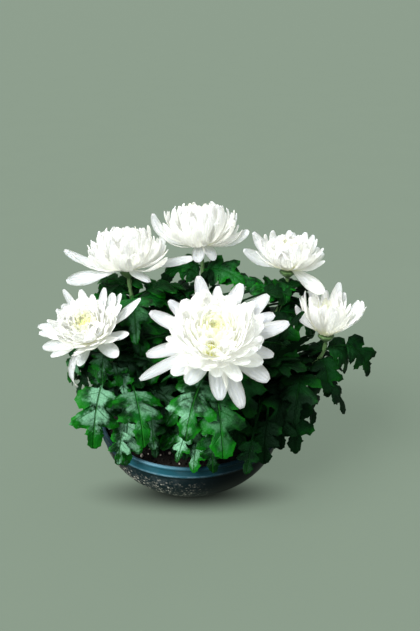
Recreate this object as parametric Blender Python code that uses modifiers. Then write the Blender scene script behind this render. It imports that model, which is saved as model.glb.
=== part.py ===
"""Pot chrysanthemum: six double white blooms on leafy stems, planted in a low round bowl of soil.

Metres, +Z up. The origin is the centre of the bowl's foot, and the side that faces the viewer is -Y.
"""

import math

import bmesh
import bpy
import numpy as np
from mathutils import Matrix, Vector

# The bowl, turned about Z
RIM_RADIUS = 0.090
FOOT_RADIUS = 0.038
BOWL_HEIGHT = 0.067
COLLAR_HEIGHT = 0.011
BOWL_FLARE = 1.6
COLLAR_STEP = 0.0022
BOWL_WALL = 0.0024
BOWL_FLOOR = 0.0030
BOWL_SEGMENTS = 28
DRAIN_COUNT = 4
DRAIN_RADIUS = 0.0035
DRAIN_CIRCLE = 0.022

# The soil in it
GAP = 0.0003
SOIL_DROP = 0.0085
SOIL_MOUND = 0.006
SOIL_CLOD = 0.0016
PLANTING_DEPTH = 0.016
STEM_ROOM = 2.2 * GAP

# Stems
STEM_RADIUS = 0.0023
CALYX_RADIUS = 0.0078
CALYX_LENGTH = 0.0065
STEM_STATIONS = 8
STEM_TAPER = 0.78
NECK = 0.002

# Petals: angles in degrees above the plane of the bloom
GOLDEN_ANGLE = math.radians(137.508)
PETAL_SHARE = 3
PETAL_WIDEN = 1.32
PETAL_KEEL = 0.0010
PETAL_CUP = 0.10
PETAL_SINK = 0.0035
OUTER_STATIONS = (0.0, 0.46, 0.82, 1.0)
INNER_STATIONS = (0.0, 0.62, 1.0)
OUTER_LAYERS = 0.50
UPRIGHT = 86.0
ROOT_SPREAD = 0.85
START_SPREAD = 0.9
END_SPREAD = 1.3
WIDTH_SPREAD = 0.6
SLOPE_POWER = 1.4
LOWEST_ROOT = 0.0016
CLAW_WIDTH = 0.26
WIDEST = 0.64
TIP_REACH = 0.375
STRAY_HEIGHT = 0.0022
TURN_SCATTER = math.radians(5.7)
START_SCATTER = 4.0
END_SCATTER = 8.0
LENGTH_SCATTER = 0.09
WIDTH_SCATTER = 0.08
TWIST_RATE = 1.6

# Cores and hearts of the blooms
CORE_SEGMENTS = 10
HEART_RADIUS = 0.0056
HEART_HEIGHT = 0.0042
HEART_RINGS = 2
HEART_SEGMENTS = 8
HEART_WAVE = 0.0007

# Leaves, in blade lengths: place along the midrib and half width
LEAF_KEEL = 0.0013
LEAF_FOLD = 0.25
STALK_HALF = 0.0012
LOBE_SWEEP = 0.60
FRONT_LEAF = np.array((
    (0.0, 0.03), (0.05, 0.27), (0.13, 0.34), (0.27, 0.14), (0.30, 0.28),
    (0.41, 0.35), (0.60, 0.12), (0.66, 0.17), (0.82, 0.12), (1.0, 0.0),
))
BACK_LEAF = np.array((
    (0.0, 0.04), (0.09, 0.33), (0.27, 0.16), (0.38, 0.38), (0.60, 0.18), (1.0, 0.0),
))
LEAF_GAP = 0.0058
OWN_LEAF_GAP = 0.0040
AXIL_REACH = 0.016
RIM_GAP = 0.004
SEARCH_REACH = 0.02
TRIES = 60
SEED = 20

# The leaves that follow the spiral up each stem
BACK_LEAVES = 14
FIRST_SHARE = 0.12
LAST_SHARE = 0.86
BACK_REACH = 0.064
BACK_BLADE = 0.060
BACK_DROP = 0.040
BACK_SHRINK = 0.40
SPIRAL_SHIFT = 1.1

# Colours
WHITE = (0.94, 0.95, 0.92)
CREAM = (0.86, 0.84, 0.42)
GREEN = (0.03, 0.14, 0.035)
BOWL_BLUE = (0.035, 0.075, 0.11)
SOIL_BROWN = (0.035, 0.025, 0.018)


class Bloom:
    """One flower head: where it stands, which way it faces, and how its petals open.

    core, lengths and outer are pairs: the core's radius and height, the inner and the outer petals' length,
    and the outer petals' start and end angle. fill tells how slowly the length grows outwards. inner_end is
    the inner petals' end angle, and closing is added to it in the middle layers. A stray is a long outer
    petal: its azimuth (-90 faces the viewer), length, start and end angle, width and twist.
    """

    def __init__(self, base, axis, petals, core, lengths, fill, width, outer, inner_end, closing, strays):
        self.base = np.array(base, float)
        self.axis = Vector(axis).normalized()
        self.turn = np.array(Vector((0, 0, 1)).rotation_difference(self.axis).to_matrix(), float)
        self.petals = petals
        self.core_radius, self.core_height = core
        self.inner_length, self.outer_length = lengths
        self.fill = fill
        self.width = width
        self.outer_start, self.outer_end = outer
        self.inner_end = inner_end
        self.closing = closing
        self.strays = strays


BLOOMS = (
    Bloom(
        base=(-0.058, 0.020, 0.211), axis=(-0.08, 0.30, 0.95), petals=150, core=(0.014, 0.020),
        lengths=(0.018, 0.045), fill=0.9, width=0.0122, outer=(-8, 64), inner_end=100, closing=30,
        strays=(
            (178, 0.060, 6, 44, 0.012, -40), (206, 0.056, -10, -2, 0.017, -35),
            (-4, 0.060, 0, 12, 0.011, 50),
            (-58, 0.036, -26, -14, 0.017, 0), (30, 0.050, 10, 80, 0.011, 30),
            (110, 0.050, 5, 20, 0.012, 0),
        ),
    ),
    Bloom(
        base=(0.010, 0.060, 0.219), axis=(-0.06, 0.30, 0.95), petals=140, core=(0.015, 0.022),
        lengths=(0.020, 0.047), fill=0.9, width=0.0118, outer=(-10, 72), inner_end=100, closing=30,
        strays=(
            (181, 0.060, 2, 92, 0.011, -50), (-12, 0.048, -8, 46, 0.014, 40),
            (14, 0.046, 0, 30, 0.012, 40),
            (-98, 0.026, -25, -60, 0.013, 0), (-62, 0.026, -25, -55, 0.012, 0),
            (95, 0.048, 5, 30, 0.012, 0),
        ),
    ),
    Bloom(
        base=(0.092, 0.028, 0.208), axis=(0.00, 0.04, 1.0), petals=72, core=(0.011, 0.013),
        lengths=(0.016, 0.038), fill=0.9, width=0.0118, outer=(20, 66), inner_end=98, closing=8,
        strays=(
            (174, 0.046, 40, 64, 0.012, -50), (192, 0.046, 20, 40, 0.013, -40),
            (-48, 0.042, -26, -14, 0.014, 0),
            (5, 0.034, 14, 44, 0.013, 30), (-20, 0.034, 6, 34, 0.012, 10),
        ),
    ),
    Bloom(
        base=(0.128, 0.000, 0.154), axis=(0.00, 0.02, 1.0), petals=46, core=(0.010, 0.010),
        lengths=(0.026, 0.044), fill=0.9, width=0.0118, outer=(30, 90), inner_end=100, closing=2,
        strays=(
            (-6, 0.046, 28, 84, 0.012, 40), (14, 0.042, 28, 78, 0.011, 20),
            (184, 0.046, 40, 92, 0.011, -30),
            (168, 0.038, 24, 72, 0.011, -20), (120, 0.052, 50, 84, 0.010, 0),
        ),
    ),
    Bloom(
        base=(0.022, -0.056, 0.174), axis=(0.03, -0.46, 0.89), petals=120, core=(0.020, 0.019),
        lengths=(0.014, 0.047), fill=0.85, width=0.0150, outer=(2, 26), inner_end=100, closing=8,
        strays=(
            (104, 0.060, 12, 25, 0.016, 0), (62, 0.056, 14, 24, 0.016, 0), (6, 0.062, 0, 18, 0.017, 20),
            (212, 0.068, -2, -6, 0.012, -15), (-84, 0.047, -6, -20, 0.019, 0),
            (-66, 0.056, -8, -26, 0.017, 0),
            (-46, 0.046, -6, -10, 0.017, 0), (166, 0.050, 4, 16, 0.016, -10),
        ),
    ),
    Bloom(
        base=(-0.084, -0.046, 0.176), axis=(-0.22, -0.40, 0.89), petals=84, core=(0.013, 0.014),
        lengths=(0.013, 0.037), fill=1.0, width=0.0122, outer=(8, 40), inner_end=94, closing=0,
        strays=(
            (160, 0.050, 10, 0, 0.013, -10), (180, 0.044, 12, 14, 0.013, 0),
            (112, 0.044, 30, 48, 0.009, 0),
            (18, 0.052, 10, 34, 0.013, 0), (235, 0.052, -6, -96, 0.014, 0),
            (-50, 0.038, 0, 14, 0.014, 0),
        ),
    ),
)

# Where each stem leaves the soil, and how far it bows outwards on its way up
STEM_FEET = (
    (-0.030, 0.014), (0.004, 0.036), (0.034, 0.016), (0.038, -0.012), (0.010, -0.034), (-0.030, -0.022),
)
STEM_BOWS = (0.045, 0.050, 0.045, 0.045, 0.035, 0.045)


def smooth_line(a, b, c, d, count):
    """Points along the cubic Bezier curve through a and d that leaves towards b and arrives from c."""
    t = np.linspace(0, 1, count)[:, None]
    return a * (1 - t) ** 3 + 3 * b * t * (1 - t) ** 2 + 3 * c * t**2 * (1 - t) + d * t**3


def soil_level(radius):
    """Height of the soil's smooth surface at a distance from the bowl's axis."""
    inner = RIM_RADIUS - BOWL_WALL - COLLAR_STEP
    return BOWL_HEIGHT - SOIL_DROP + SOIL_MOUND * math.cos(0.5 * math.pi * min(1.0, radius / inner))


def stem_line(index, count):
    """The centre line of a stem: straight in its hole, bowed, and straight again under its bloom."""
    bloom = BLOOMS[index]
    axis = np.array(bloom.axis)
    x, y = STEM_FEET[index]
    level = soil_level(math.hypot(x, y))
    low = np.array([x, y, level + 0.001])
    top = bloom.base - axis * GAP
    neck = top - axis * (CALYX_LENGTH + NECK)
    bow = STEM_BOWS[index]
    middle = smooth_line(low, low + np.array([0, 0, bow]), neck - axis * bow, neck, count - 2)
    return np.concatenate([[[x, y, level - PLANTING_DEPTH + GAP]], middle, [top]])


def core_profile(bloom):
    """(radius, height) points of the core that the petals stand on, from its top edge down to its foot."""
    r, h = bloom.core_radius, bloom.core_height
    top = (HEART_RADIUS + 0.001, h)
    return np.array([top, (0.72 * r, 0.90 * h), (r, 0.62 * h), (0.82 * r, 0.30 * h), (CALYX_RADIUS, 0.0)])


def petal_list(bloom, index):
    """Root, direction, bend and size of every petal of a bloom, the inner ones first."""
    rng = np.random.default_rng(SEED + index)
    count = bloom.petals
    layer = (np.arange(count) + 0.5) / count
    profile = core_profile(bloom)
    steps = np.linspace(0, 1, len(profile))
    root = layer**ROOT_SPREAD
    turned_by, started, ended, grown, widened = rng.normal(size=(count, 5)).T
    start = UPRIGHT + (bloom.outer_start - UPRIGHT) * layer**START_SPREAD
    end = bloom.inner_end + (bloom.outer_end - bloom.inner_end) * layer**END_SPREAD
    end += bloom.closing * np.sin(math.pi * layer)
    length = bloom.inner_length + (bloom.outer_length - bloom.inner_length) * layer**bloom.fill
    width = bloom.width * (0.50 + 0.50 * layer**WIDTH_SPREAD)
    found = {
        "radius": np.interp(root, steps, profile[:, 0]) - 0.0005,
        "height": np.interp(root, steps, profile[:, 1]),
        "azimuth": np.arange(count) * GOLDEN_ANGLE + TURN_SCATTER * turned_by,
        "start": start + START_SCATTER * started,
        "end": end + END_SCATTER * ended * (0.4 + layer),
        "length": length * (1 + LENGTH_SCATTER * np.clip(grown, -1.6, 1.6)),
        "width": width * (1 + WIDTH_SCATTER * widened),
        "twist": np.zeros(count),
    }
    for azimuth, length, start, end, width, twist in bloom.strays:
        row = {
            "radius": CALYX_RADIUS - 0.001, "height": STRAY_HEIGHT, "azimuth": math.radians(azimuth),
            "start": start, "end": end, "length": length, "width": width, "twist": twist,
        }
        found = {key: np.append(found[key], row[key]) for key in found}
    return found


def petal_frames(bloom, petals, stations):
    """Centre points, sideways and upward directions of petals at shares of their length, in world axes."""
    s = np.asarray(stations, float)[None, :]
    start = np.radians(petals["start"])[:, None]
    end = np.radians(petals["end"])[:, None]
    fine = np.linspace(0, 1, 41)
    slope = start + (end - start) * fine[None, :] ** SLOPE_POWER
    middle = 0.5 * (slope[:, 1:] + slope[:, :-1])
    step = petals["length"][:, None] * fine[1]
    none = np.zeros_like(step)
    out = np.concatenate([none, np.cumsum(np.cos(middle) * step, 1)], 1)
    rise = np.concatenate([none, np.cumsum(np.sin(middle) * step, 1)], 1)
    out = np.stack([np.interp(s[0], fine, row) for row in out])
    rise = np.stack([np.interp(s[0], fine, row) for row in rise])
    tilt = start + (end - start) * s**SLOPE_POWER
    cosine = np.cos(petals["azimuth"])[:, None]
    sine = np.sin(petals["azimuth"])[:, None]
    radial = petals["radius"][:, None] - PETAL_SINK * np.cos(start) + out
    height = np.maximum(petals["height"][:, None] - PETAL_SINK * np.sin(start), LOWEST_ROOT) + rise
    centre = np.stack([radial * cosine, radial * sine, height], -1)
    side = np.stack([-sine + 0 * tilt, cosine + 0 * tilt, 0 * tilt], -1)
    up = np.stack([-np.sin(tilt) * cosine, -np.sin(tilt) * sine, np.cos(tilt)], -1)
    twist = (np.radians(petals["twist"])[:, None] * np.clip(TWIST_RATE * s, 0, 1))[..., None]
    side, up = side * np.cos(twist) + up * np.sin(twist), up * np.cos(twist) - side * np.sin(twist)
    return centre @ bloom.turn.T + bloom.base, side @ bloom.turn.T, up @ bloom.turn.T


def petal_half_width(s):
    """Half width of a petal, as a share of its full width, from its narrow claw to its rounded tip."""
    opening = np.sin(0.5 * np.pi * np.clip(s / WIDEST, 0, 1)) ** 1.2
    claw = CLAW_WIDTH + (1 - CLAW_WIDTH) * opening
    tip = np.sqrt(np.clip(1 - (np.clip(s - WIDEST, 0, None) / TIP_REACH) ** 2, 0, 1))
    return 0.5 * claw * tip


def bloom_cloud(bloom, index):
    """Points all over a bloom's petals, to keep leaves clear of them."""
    petals = petal_list(bloom, index)
    stations = np.linspace(0.1, 1, 9)
    centre, side, _ = petal_frames(bloom, petals, stations)
    half = petal_half_width(stations)[None, :, None] * petals["width"][:, None, None]
    return np.concatenate([(centre + q * half * side).reshape(-1, 3) for q in (-1, 0, 1)])


class Leaf:
    """One leaf: the stem it grows on, its place there, its tip, its blade and how it is turned."""

    def __init__(self, stem, share, tip, blade, lift, roll, edge=FRONT_LEAF):
        self.stem = stem
        self.share = share
        self.tip = np.array(tip, float)
        self.blade = blade
        self.lift = lift
        self.roll = roll
        self.edge = edge

    def root(self):
        """The point of the stem that the leaf grows from."""
        line = STEM_LINES[self.stem]
        return line[int(round(self.share * (len(line) - 1)))]

    def curve(self):
        """The leaf's middle line from root to tip, the distance run along it, and its level direction."""
        root = self.root()
        across = self.tip - root
        outward = np.array([across[0], across[1], 0.0])
        reach = max(np.linalg.norm(outward), 1e-6)
        outward /= reach
        hang = min(1.0, max(0.0, -across[2] / reach))
        bend = root + outward * (0.50 + 0.38 * hang) * reach
        bend[2] += max(0.0, across[2]) * 0.6 + self.lift
        t = np.linspace(0, 1, 61)[:, None]
        points = root * (1 - t) ** 2 + 2 * bend * t * (1 - t) + self.tip * t**2
        run = np.concatenate([[0], np.cumsum(np.linalg.norm(np.diff(points, axis=0), axis=1))])
        return points, run, outward

    def foot(self):
        """Where the stalk leaves the stem, in blade lengths from the blade's foot."""
        _, run, _ = self.curve()
        return 1 - run[-1] / self.blade

    def frames(self, along):
        """Points, sideways and upward directions at distances from the blade's foot, in blade lengths."""
        curve, run, outward = self.curve()
        along = np.asarray(along, float)
        want = np.clip(run[-1] + (along - 1) * self.blade, 0, run[-1])
        points = np.stack([np.interp(want, run, curve[:, k]) for k in range(3)], -1)
        onward = np.minimum(want + 0.001, run[-1])
        before = np.maximum(want - 0.001, 0)
        ahead = np.stack([np.interp(onward, run, curve[:, k]) for k in range(3)], -1)
        back = np.stack([np.interp(before, run, curve[:, k]) for k in range(3)], -1)
        forward = ahead - back
        forward /= np.linalg.norm(forward, axis=-1, keepdims=True)
        flat = np.array([-outward[1], outward[0], 0.0])
        side = flat - forward * (forward @ flat)[..., None]
        side /= np.linalg.norm(side, axis=-1, keepdims=True)
        up = np.cross(forward, side)
        grow = np.clip(along * 2 + 0.6, 0, 1)[..., None]
        turn = math.radians(self.roll) * grow
        return points, side * np.cos(turn) + up * np.sin(turn), up * np.cos(turn) - side * np.sin(turn)

    def surface(self, u, q):
        """World points of the blade, for u from foot to tip and q from -1 to 1 across."""
        half = q * np.interp(u, self.edge[:, 0], self.edge[:, 1])
        points, side, up = self.frames(u + LOBE_SWEEP * np.abs(half))
        half = half[..., None] * self.blade
        return points + half * side + up * LEAF_FOLD * np.abs(half) * (1 - 1.6 * np.abs(half) / self.blade)

    def cloud(self):
        """Points all over the blade and along its stalk."""
        u, q = np.meshgrid(np.linspace(0.04, 1, 13), np.linspace(-1, 1, 5))
        stalk, _, _ = self.frames(np.linspace(-0.3, 0, 5))
        return np.concatenate([self.surface(u, q).reshape(-1, 3), stalk])


# The leaves that show from the front: stem, place on it, tip, blade length, lift and turn in degrees
FRONT_LEAVES = (
    Leaf(5, 0.70, (-0.083, -0.090, 0.088), 0.056, 0.018, -24),
    Leaf(5, 0.56, (-0.036, -0.108, 0.104), 0.056, 0.018, -8),
    Leaf(5, 0.42, (-0.062, -0.094, 0.074), 0.030, 0.012, -10),
    Leaf(4, 0.74, (-0.002, -0.112, 0.112), 0.060, 0.014, -10),
    Leaf(4, 0.66, (0.030, -0.114, 0.096), 0.062, 0.018, 8),
    Leaf(4, 0.50, (0.021, -0.100, 0.070), 0.034, 0.012, 0),
    Leaf(4, 0.36, (-0.010, -0.098, 0.080), 0.026, 0.010, 0),
    Leaf(5, 0.34, (-0.030, -0.088, 0.086), 0.034, 0.014, 10),
    Leaf(3, 0.60, (0.119, -0.008, 0.056), 0.050, 0.020, 30),
    Leaf(3, 0.92, (0.173, 0.000, 0.108), 0.046, 0.020, 55),
    Leaf(3, 0.84, (0.130, -0.024, 0.100), 0.042, 0.014, 10),
    Leaf(3, 0.70, (0.094, -0.062, 0.094), 0.054, 0.018, 6),
    Leaf(1, 0.90, (0.052, 0.034, 0.190), 0.044, 0.010, 45),
    Leaf(2, 0.86, (0.056, 0.012, 0.192), 0.042, 0.012, -35),
    Leaf(0, 0.90, (-0.094, -0.002, 0.188), 0.038, 0.006, -40),
    Leaf(0, 0.74, (-0.044, -0.036, 0.150), 0.050, 0.012, 0),
    Leaf(5, 0.90, (-0.108, -0.044, 0.128), 0.034, 0.006, -35),
    Leaf(3, 0.44, (0.050, -0.100, 0.069), 0.030, 0.013, -11),
    Leaf(3, 0.52, (0.099, -0.049, 0.053), 0.052, 0.010, 12),
    Leaf(3, 0.62, (0.077, -0.057, 0.083), 0.051, 0.007, -27),
    Leaf(4, 0.81, (0.055, -0.082, 0.115), 0.049, 0.005, 41),
    Leaf(1, 0.84, (-0.025, 0.046, 0.193), 0.038, 0.021, -47),
    Leaf(1, 0.87, (0.048, 0.056, 0.196), 0.040, 0.006, 29),
    Leaf(2, 0.95, (0.089, 0.006, 0.184), 0.034, 0.009, -19),
    Leaf(2, 0.71, (0.120, 0.018, 0.141), 0.052, 0.017, 32),
    Leaf(2, 0.72, (0.079, -0.030, 0.123), 0.056, 0.021, 2),
    Leaf(0, 0.87, (-0.046, -0.042, 0.166), 0.049, 0.020, 15),
    Leaf(0, 0.65, (-0.036, -0.042, 0.124), 0.052, 0.016, 20),
    Leaf(1, 0.76, (-0.038, 0.017, 0.156), 0.050, 0.008, -39),
    Leaf(5, 0.84, (-0.074, -0.074, 0.145), 0.033, 0.022, -15),
    Leaf(5, 0.32, (-0.047, -0.081, 0.076), 0.035, 0.012, 6),
    Leaf(0, 0.36, (-0.085, -0.033, 0.087), 0.053, 0.018, -39),
)
STEM_LINES = []


def rule_leaf(stem, order, attempt, rng):
    """A leaf of the spiral up a stem, drawn anew for each attempt: low ones reach up, high ones hang."""
    line = STEM_LINES[stem]
    share = FIRST_SHARE + (LAST_SHARE - FIRST_SHARE) * (order + 0.5) / BACK_LEAVES
    root = line[int(round(share * (len(line) - 1)))]
    angle = stem * SPIRAL_SHIFT + order * GOLDEN_ANGLE + rng.uniform(-1, 1) * (0.3 + 0.05 * attempt)
    size = (1.0 - BACK_SHRINK * share) * (1 - 0.006 * attempt) * rng.uniform(0.92, 1.06)
    reach = BACK_REACH * size * rng.uniform(0.85, 1.1)
    height = np.clip((root[2] - BOWL_HEIGHT - 0.02) / 0.06, -0.25, 1)
    drop = rng.uniform(0.0, BACK_DROP) * size * height
    tip = root + np.array([reach * math.cos(angle), reach * math.sin(angle), -drop])
    lift = rng.uniform(0.008, 0.018)
    roll = rng.uniform(-16, 16)
    return Leaf(stem, share, tip, BACK_BLADE * size, lift, roll, BACK_LEAF)


def nearest(points, others):
    """The least distance between two sets of points."""
    low, high = points.min(0) - SEARCH_REACH, points.max(0) + SEARCH_REACH
    near = others[np.all((others > low) & (others < high), axis=1)]
    if not len(near):
        return 1.0
    return float(np.sqrt(((points[:, None] - near[None]) ** 2).sum(-1).min()))


def clears_bowl(points):
    """True where a leaf stays above the soil and the rim, outside the bowl and off the ground."""
    radius = np.hypot(points[:, 0], points[:, 1])
    over = points[:, 2] > BOWL_HEIGHT + 0.003
    outside = (radius > RIM_RADIUS + RIM_GAP) & (points[:, 2] > 0.010)
    return bool(np.all(over | outside))


class Foliage:
    """The leaves placed so far, stem by stem, and the points that further leaves keep clear of."""

    def __init__(self):
        STEM_LINES[:] = [stem_line(k, 81) for k in range(len(BLOOMS))]
        self.blooms = np.concatenate([bloom_cloud(bloom, k) for k, bloom in enumerate(BLOOMS)])
        self.leaves = [[] for _ in BLOOMS]
        self.clouds = [[] for _ in BLOOMS]

    def add(self, leaf):
        """Adds the leaf if it is clear of the bowl, the blooms, the other stems and the other leaves."""
        points = leaf.cloud()
        if not clears_bowl(points) or nearest(points, self.blooms) < LEAF_GAP:
            return False
        for k, line in enumerate(STEM_LINES):
            near = self.clouds[k]
            room = LEAF_GAP
            if k == leaf.stem:
                near = [cloud[np.linalg.norm(cloud - leaf.root(), axis=1) > AXIL_REACH] for cloud in near]
                room = OWN_LEAF_GAP
            else:
                near = [line, *near]
            if any(len(cloud) and nearest(points, cloud) < room for cloud in near):
                return False
        self.leaves[leaf.stem].append(leaf)
        self.clouds[leaf.stem].append(points)
        return True


def place_leaves():
    """The leaves of each stem: first those that show from the front, then those of the spiral."""
    foliage = Foliage()
    rng = np.random.default_rng(SEED)
    for leaf in FRONT_LEAVES:
        foliage.add(leaf)
    for order in range(BACK_LEAVES):
        for stem in range(len(BLOOMS)):
            for attempt in range(TRIES):
                if foliage.add(rule_leaf(stem, order, attempt, rng)):
                    break
    return foliage.leaves


def clear_scene():
    for old in list(bpy.data.objects):
        bpy.data.objects.remove(old, do_unlink=True)


def new_collection(name):
    made = bpy.data.collections.new(name)
    bpy.context.scene.collection.children.link(made)
    return made


def material(name, colour, roughness):
    made = bpy.data.materials.new(name)
    made.use_nodes = True
    shader = made.node_tree.nodes["Principled BSDF"]
    shader.inputs["Base Color"].default_value = (*colour, 1.0)
    shader.inputs["Roughness"].default_value = roughness
    shader.inputs["Metallic"].default_value = 0.0
    return made


def add_object(name, mesh, collection, finish):
    """A new object for a mesh, with its material, in a collection."""
    made = bpy.data.objects.new(name, mesh)
    collection.objects.link(made)
    mesh.materials.clear()
    mesh.materials.append(finish)
    return made


def applied(obj):
    """The object with its modifiers made part of its mesh."""
    bpy.context.view_layer.update()
    graph = bpy.context.evaluated_depsgraph_get()
    mesh = bpy.data.meshes.new_from_object(obj.evaluated_get(graph))
    finish = obj.data.materials[0]
    obj.modifiers.clear()
    obj.data = mesh
    mesh.materials.clear()
    mesh.materials.append(finish)
    return obj


def turned(name, profile, segments, collection, finish):
    """A solid turned about Z, by a Screw on a profile that ends on the axis at both ends."""
    mesh = bpy.data.meshes.new(name)
    mesh.from_pydata([(r, 0.0, z) for r, z in profile], [(i, i + 1) for i in range(len(profile) - 1)], [])
    made = add_object(name, mesh, collection, finish)
    screw = made.modifiers.new("turn", "SCREW")
    screw.steps = screw.render_steps = segments
    screw.use_merge_vertices = True
    screw.merge_threshold = 0.00005
    screw.use_smooth_shade = True
    return made


def cut(obj, cutters):
    """Cuts every object of a collection out of obj."""
    boolean = obj.modifiers.new("cut", "BOOLEAN")
    boolean.operation = "DIFFERENCE"
    boolean.solver = "EXACT"
    boolean.operand_type = "COLLECTION"
    boolean.collection = cutters


def drill(name, x, y, low, high, radius, segments, cutters, finish):
    """An upright cylinder that cuts a round hole."""
    mesh = bpy.data.meshes.new(name)
    shape = bmesh.new()
    bmesh.ops.create_cone(
        shape, cap_ends=True, segments=segments, radius1=radius, radius2=radius, depth=high - low,
        matrix=Matrix.Translation((x, y, 0.5 * (low + high))),
    )
    shape.to_mesh(mesh)
    shape.free()
    made = add_object(name, mesh, cutters, finish)
    made.hide_render = True
    made.display_type = "WIRE"


def bowl_outside():
    """(radius, height) down the outside of the bowl, below its collar."""
    top = BOWL_HEIGHT - COLLAR_HEIGHT
    angles = np.linspace(0.5 * np.pi, 0, 5)
    spread = RIM_RADIUS - COLLAR_STEP - FOOT_RADIUS
    return [(FOOT_RADIUS + spread * math.sin(a) ** BOWL_FLARE, top * (1 - math.cos(a))) for a in angles]


def make_bowl(collection, cutters, finish):
    """The bowl: an upright collar on a rounded wall, a flat foot, and drain holes in its floor."""
    inside = [(0.0, BOWL_FLOOR), (FOOT_RADIUS - BOWL_WALL, BOWL_FLOOR)]
    inside += [(r - BOWL_WALL, z) for r, z in reversed(bowl_outside()) if z > BOWL_FLOOR]
    lip = RIM_RADIUS - COLLAR_STEP - BOWL_WALL
    inside += [(lip, BOWL_HEIGHT - 0.0012), (lip + 0.001, BOWL_HEIGHT)]
    outside = [
        (RIM_RADIUS - 0.001, BOWL_HEIGHT), (RIM_RADIUS, BOWL_HEIGHT - 0.0014),
        (RIM_RADIUS - 0.0004, BOWL_HEIGHT - COLLAR_HEIGHT),
    ]
    outline = inside + outside + bowl_outside() + [(0.0, 0.0)]
    bowl = turned("bowl", outline, BOWL_SEGMENTS, collection, finish)
    for k in range(DRAIN_COUNT):
        angle = 2 * math.pi * (k + 0.5) / DRAIN_COUNT
        x, y = DRAIN_CIRCLE * math.cos(angle), DRAIN_CIRCLE * math.sin(angle)
        drill(f"drain_{k}", x, y, -0.002, BOWL_FLOOR + 0.002, DRAIN_RADIUS, 8, cutters, finish)
    cut(bowl, cutters)
    applied(bowl)
    return bowl


def make_soil(collection, cutters, finish):
    """The soil: it fills the bowl, mounds a little, and has a plain hole for each stem."""
    wall = [(r - BOWL_WALL - GAP, z + GAP) for r, z in bowl_outside() if z > BOWL_FLOOR]
    edge = wall[0][0]
    mound = [(edge * k / 3, soil_level(edge * k / 3)) for k in range(3, -1, -1)]
    floor = BOWL_FLOOR + GAP
    foot = FOOT_RADIUS - BOWL_WALL - 2 * GAP
    profile = list(reversed(mound)) + wall[1:] + [(foot, floor), (0.0, floor)]
    soil = applied(turned("soil", profile, BOWL_SEGMENTS, collection, finish))
    rng = np.random.default_rng(SEED)
    lowest = min(z for _, z in mound) - 0.0005
    for vertex in soil.data.vertices:
        radius = math.hypot(vertex.co.x, vertex.co.y)
        if vertex.co.z > lowest and radius < 0.95 * edge:
            vertex.co.z += rng.uniform(-0.3, 1.0) * SOIL_CLOD
    for k, (x, y) in enumerate(STEM_FEET):
        level = soil_level(math.hypot(x, y))
        low, high = level - PLANTING_DEPTH, level + 0.01
        drill(f"hole_{k}", x, y, low, high, STEM_RADIUS + STEM_ROOM, 8, cutters, finish)
    cut(soil, cutters)
    applied(soil)
    return soil


def petal_mesh(name, bloom, petals, k, widen):
    """One petal as a loft of three-sided sections: two edges, and a keel along its back."""
    stations = np.array(OUTER_STATIONS if k > OUTER_LAYERS * bloom.petals else INNER_STATIONS)
    one = {key: values[k : k + 1] for key, values in petals.items()}
    centre, side, up = (found[0] for found in petal_frames(bloom, one, stations))
    half = petal_half_width(stations) * one["width"] * widen
    half[-1] = 0.30 * half[-2]
    cup = PETAL_CUP * half
    shape = bmesh.new()
    rings = []
    for at, across, over, reach, rise in zip(centre, side, up, half, cup):
        left = at - across * reach + over * rise
        right = at + across * reach + over * rise
        corners = (left, right, at - over * PETAL_KEEL)
        rings.append([shape.verts.new(corner) for corner in corners])
    for a, b in zip(rings, rings[1:]):
        for j in range(3):
            shape.faces.new((a[j], a[(j + 1) % 3], b[(j + 1) % 3], b[j]))
    shape.faces.new(rings[0][::-1])
    shape.faces.new(rings[-1])
    bmesh.ops.triangulate(shape, faces=shape.faces)
    bmesh.ops.recalc_face_normals(shape, faces=shape.faces)
    mesh = bpy.data.meshes.new(name)
    shape.to_mesh(mesh)
    shape.free()
    return mesh


def keep_outer_skin(obj):
    """Keeps the skin with the most faces, so that a gap sealed in between petals or leaves is solid."""
    shape = bmesh.new()
    shape.from_mesh(obj.data)
    left = set(shape.faces)
    skins = []
    while left:
        front = [left.pop()]
        skin = list(front)
        while front:
            around = {face for edge in front.pop().edges for face in edge.link_faces} & left
            left -= around
            front += around
            skin += around
        skins.append(skin)
    skins.sort(key=len)
    for skin in skins[:-1]:
        bmesh.ops.delete(shape, geom=skin, context="FACES")
    shape.to_mesh(obj.data)
    shape.free()


def fuse(obj, pieces):
    """Joins every object of a collection to obj in one union, and removes them."""
    union = obj.modifiers.new("fuse", "BOOLEAN")
    union.operation = "UNION"
    union.solver = "MANIFOLD"
    union.operand_type = "COLLECTION"
    union.collection = pieces
    applied(obj)
    for piece in list(pieces.objects):
        bpy.data.objects.remove(piece, do_unlink=True)
    bpy.data.collections.remove(pieces)
    keep_outer_skin(obj)
    return obj


def petal_step(bloom, k):
    """One petal in this many is built here: more of the outer ones, which give a bloom its outline."""
    return PETAL_SHARE if k > OUTER_LAYERS * bloom.petals else 2 * PETAL_SHARE


def make_bloom(index, collection, finish):
    """A bloom: its core, with its petals in their layers sunk into it."""
    bloom = BLOOMS[index]
    profile = [(0.0, bloom.core_height), *map(tuple, core_profile(bloom)), (0.0, 0.0)]
    head = applied(turned(f"bloom_{index + 1}", profile, CORE_SEGMENTS, collection, finish))
    place = Matrix.Translation(bloom.base) @ Matrix(bloom.turn.tolist()).to_4x4()
    head.data.transform(place)
    petals = petal_list(bloom, index)
    picked = [k for k in range(len(petals["width"])) if k >= bloom.petals or k % petal_step(bloom, k) == 1]
    pieces = new_collection("petals")
    for k in picked:
        widen = 1.0 if k >= bloom.petals else PETAL_WIDEN
        mesh = petal_mesh(f"petal_{k}", bloom, petals, k, widen)
        add_object(f"petal_{k}", mesh, pieces, finish)
    return fuse(head, pieces)


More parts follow.
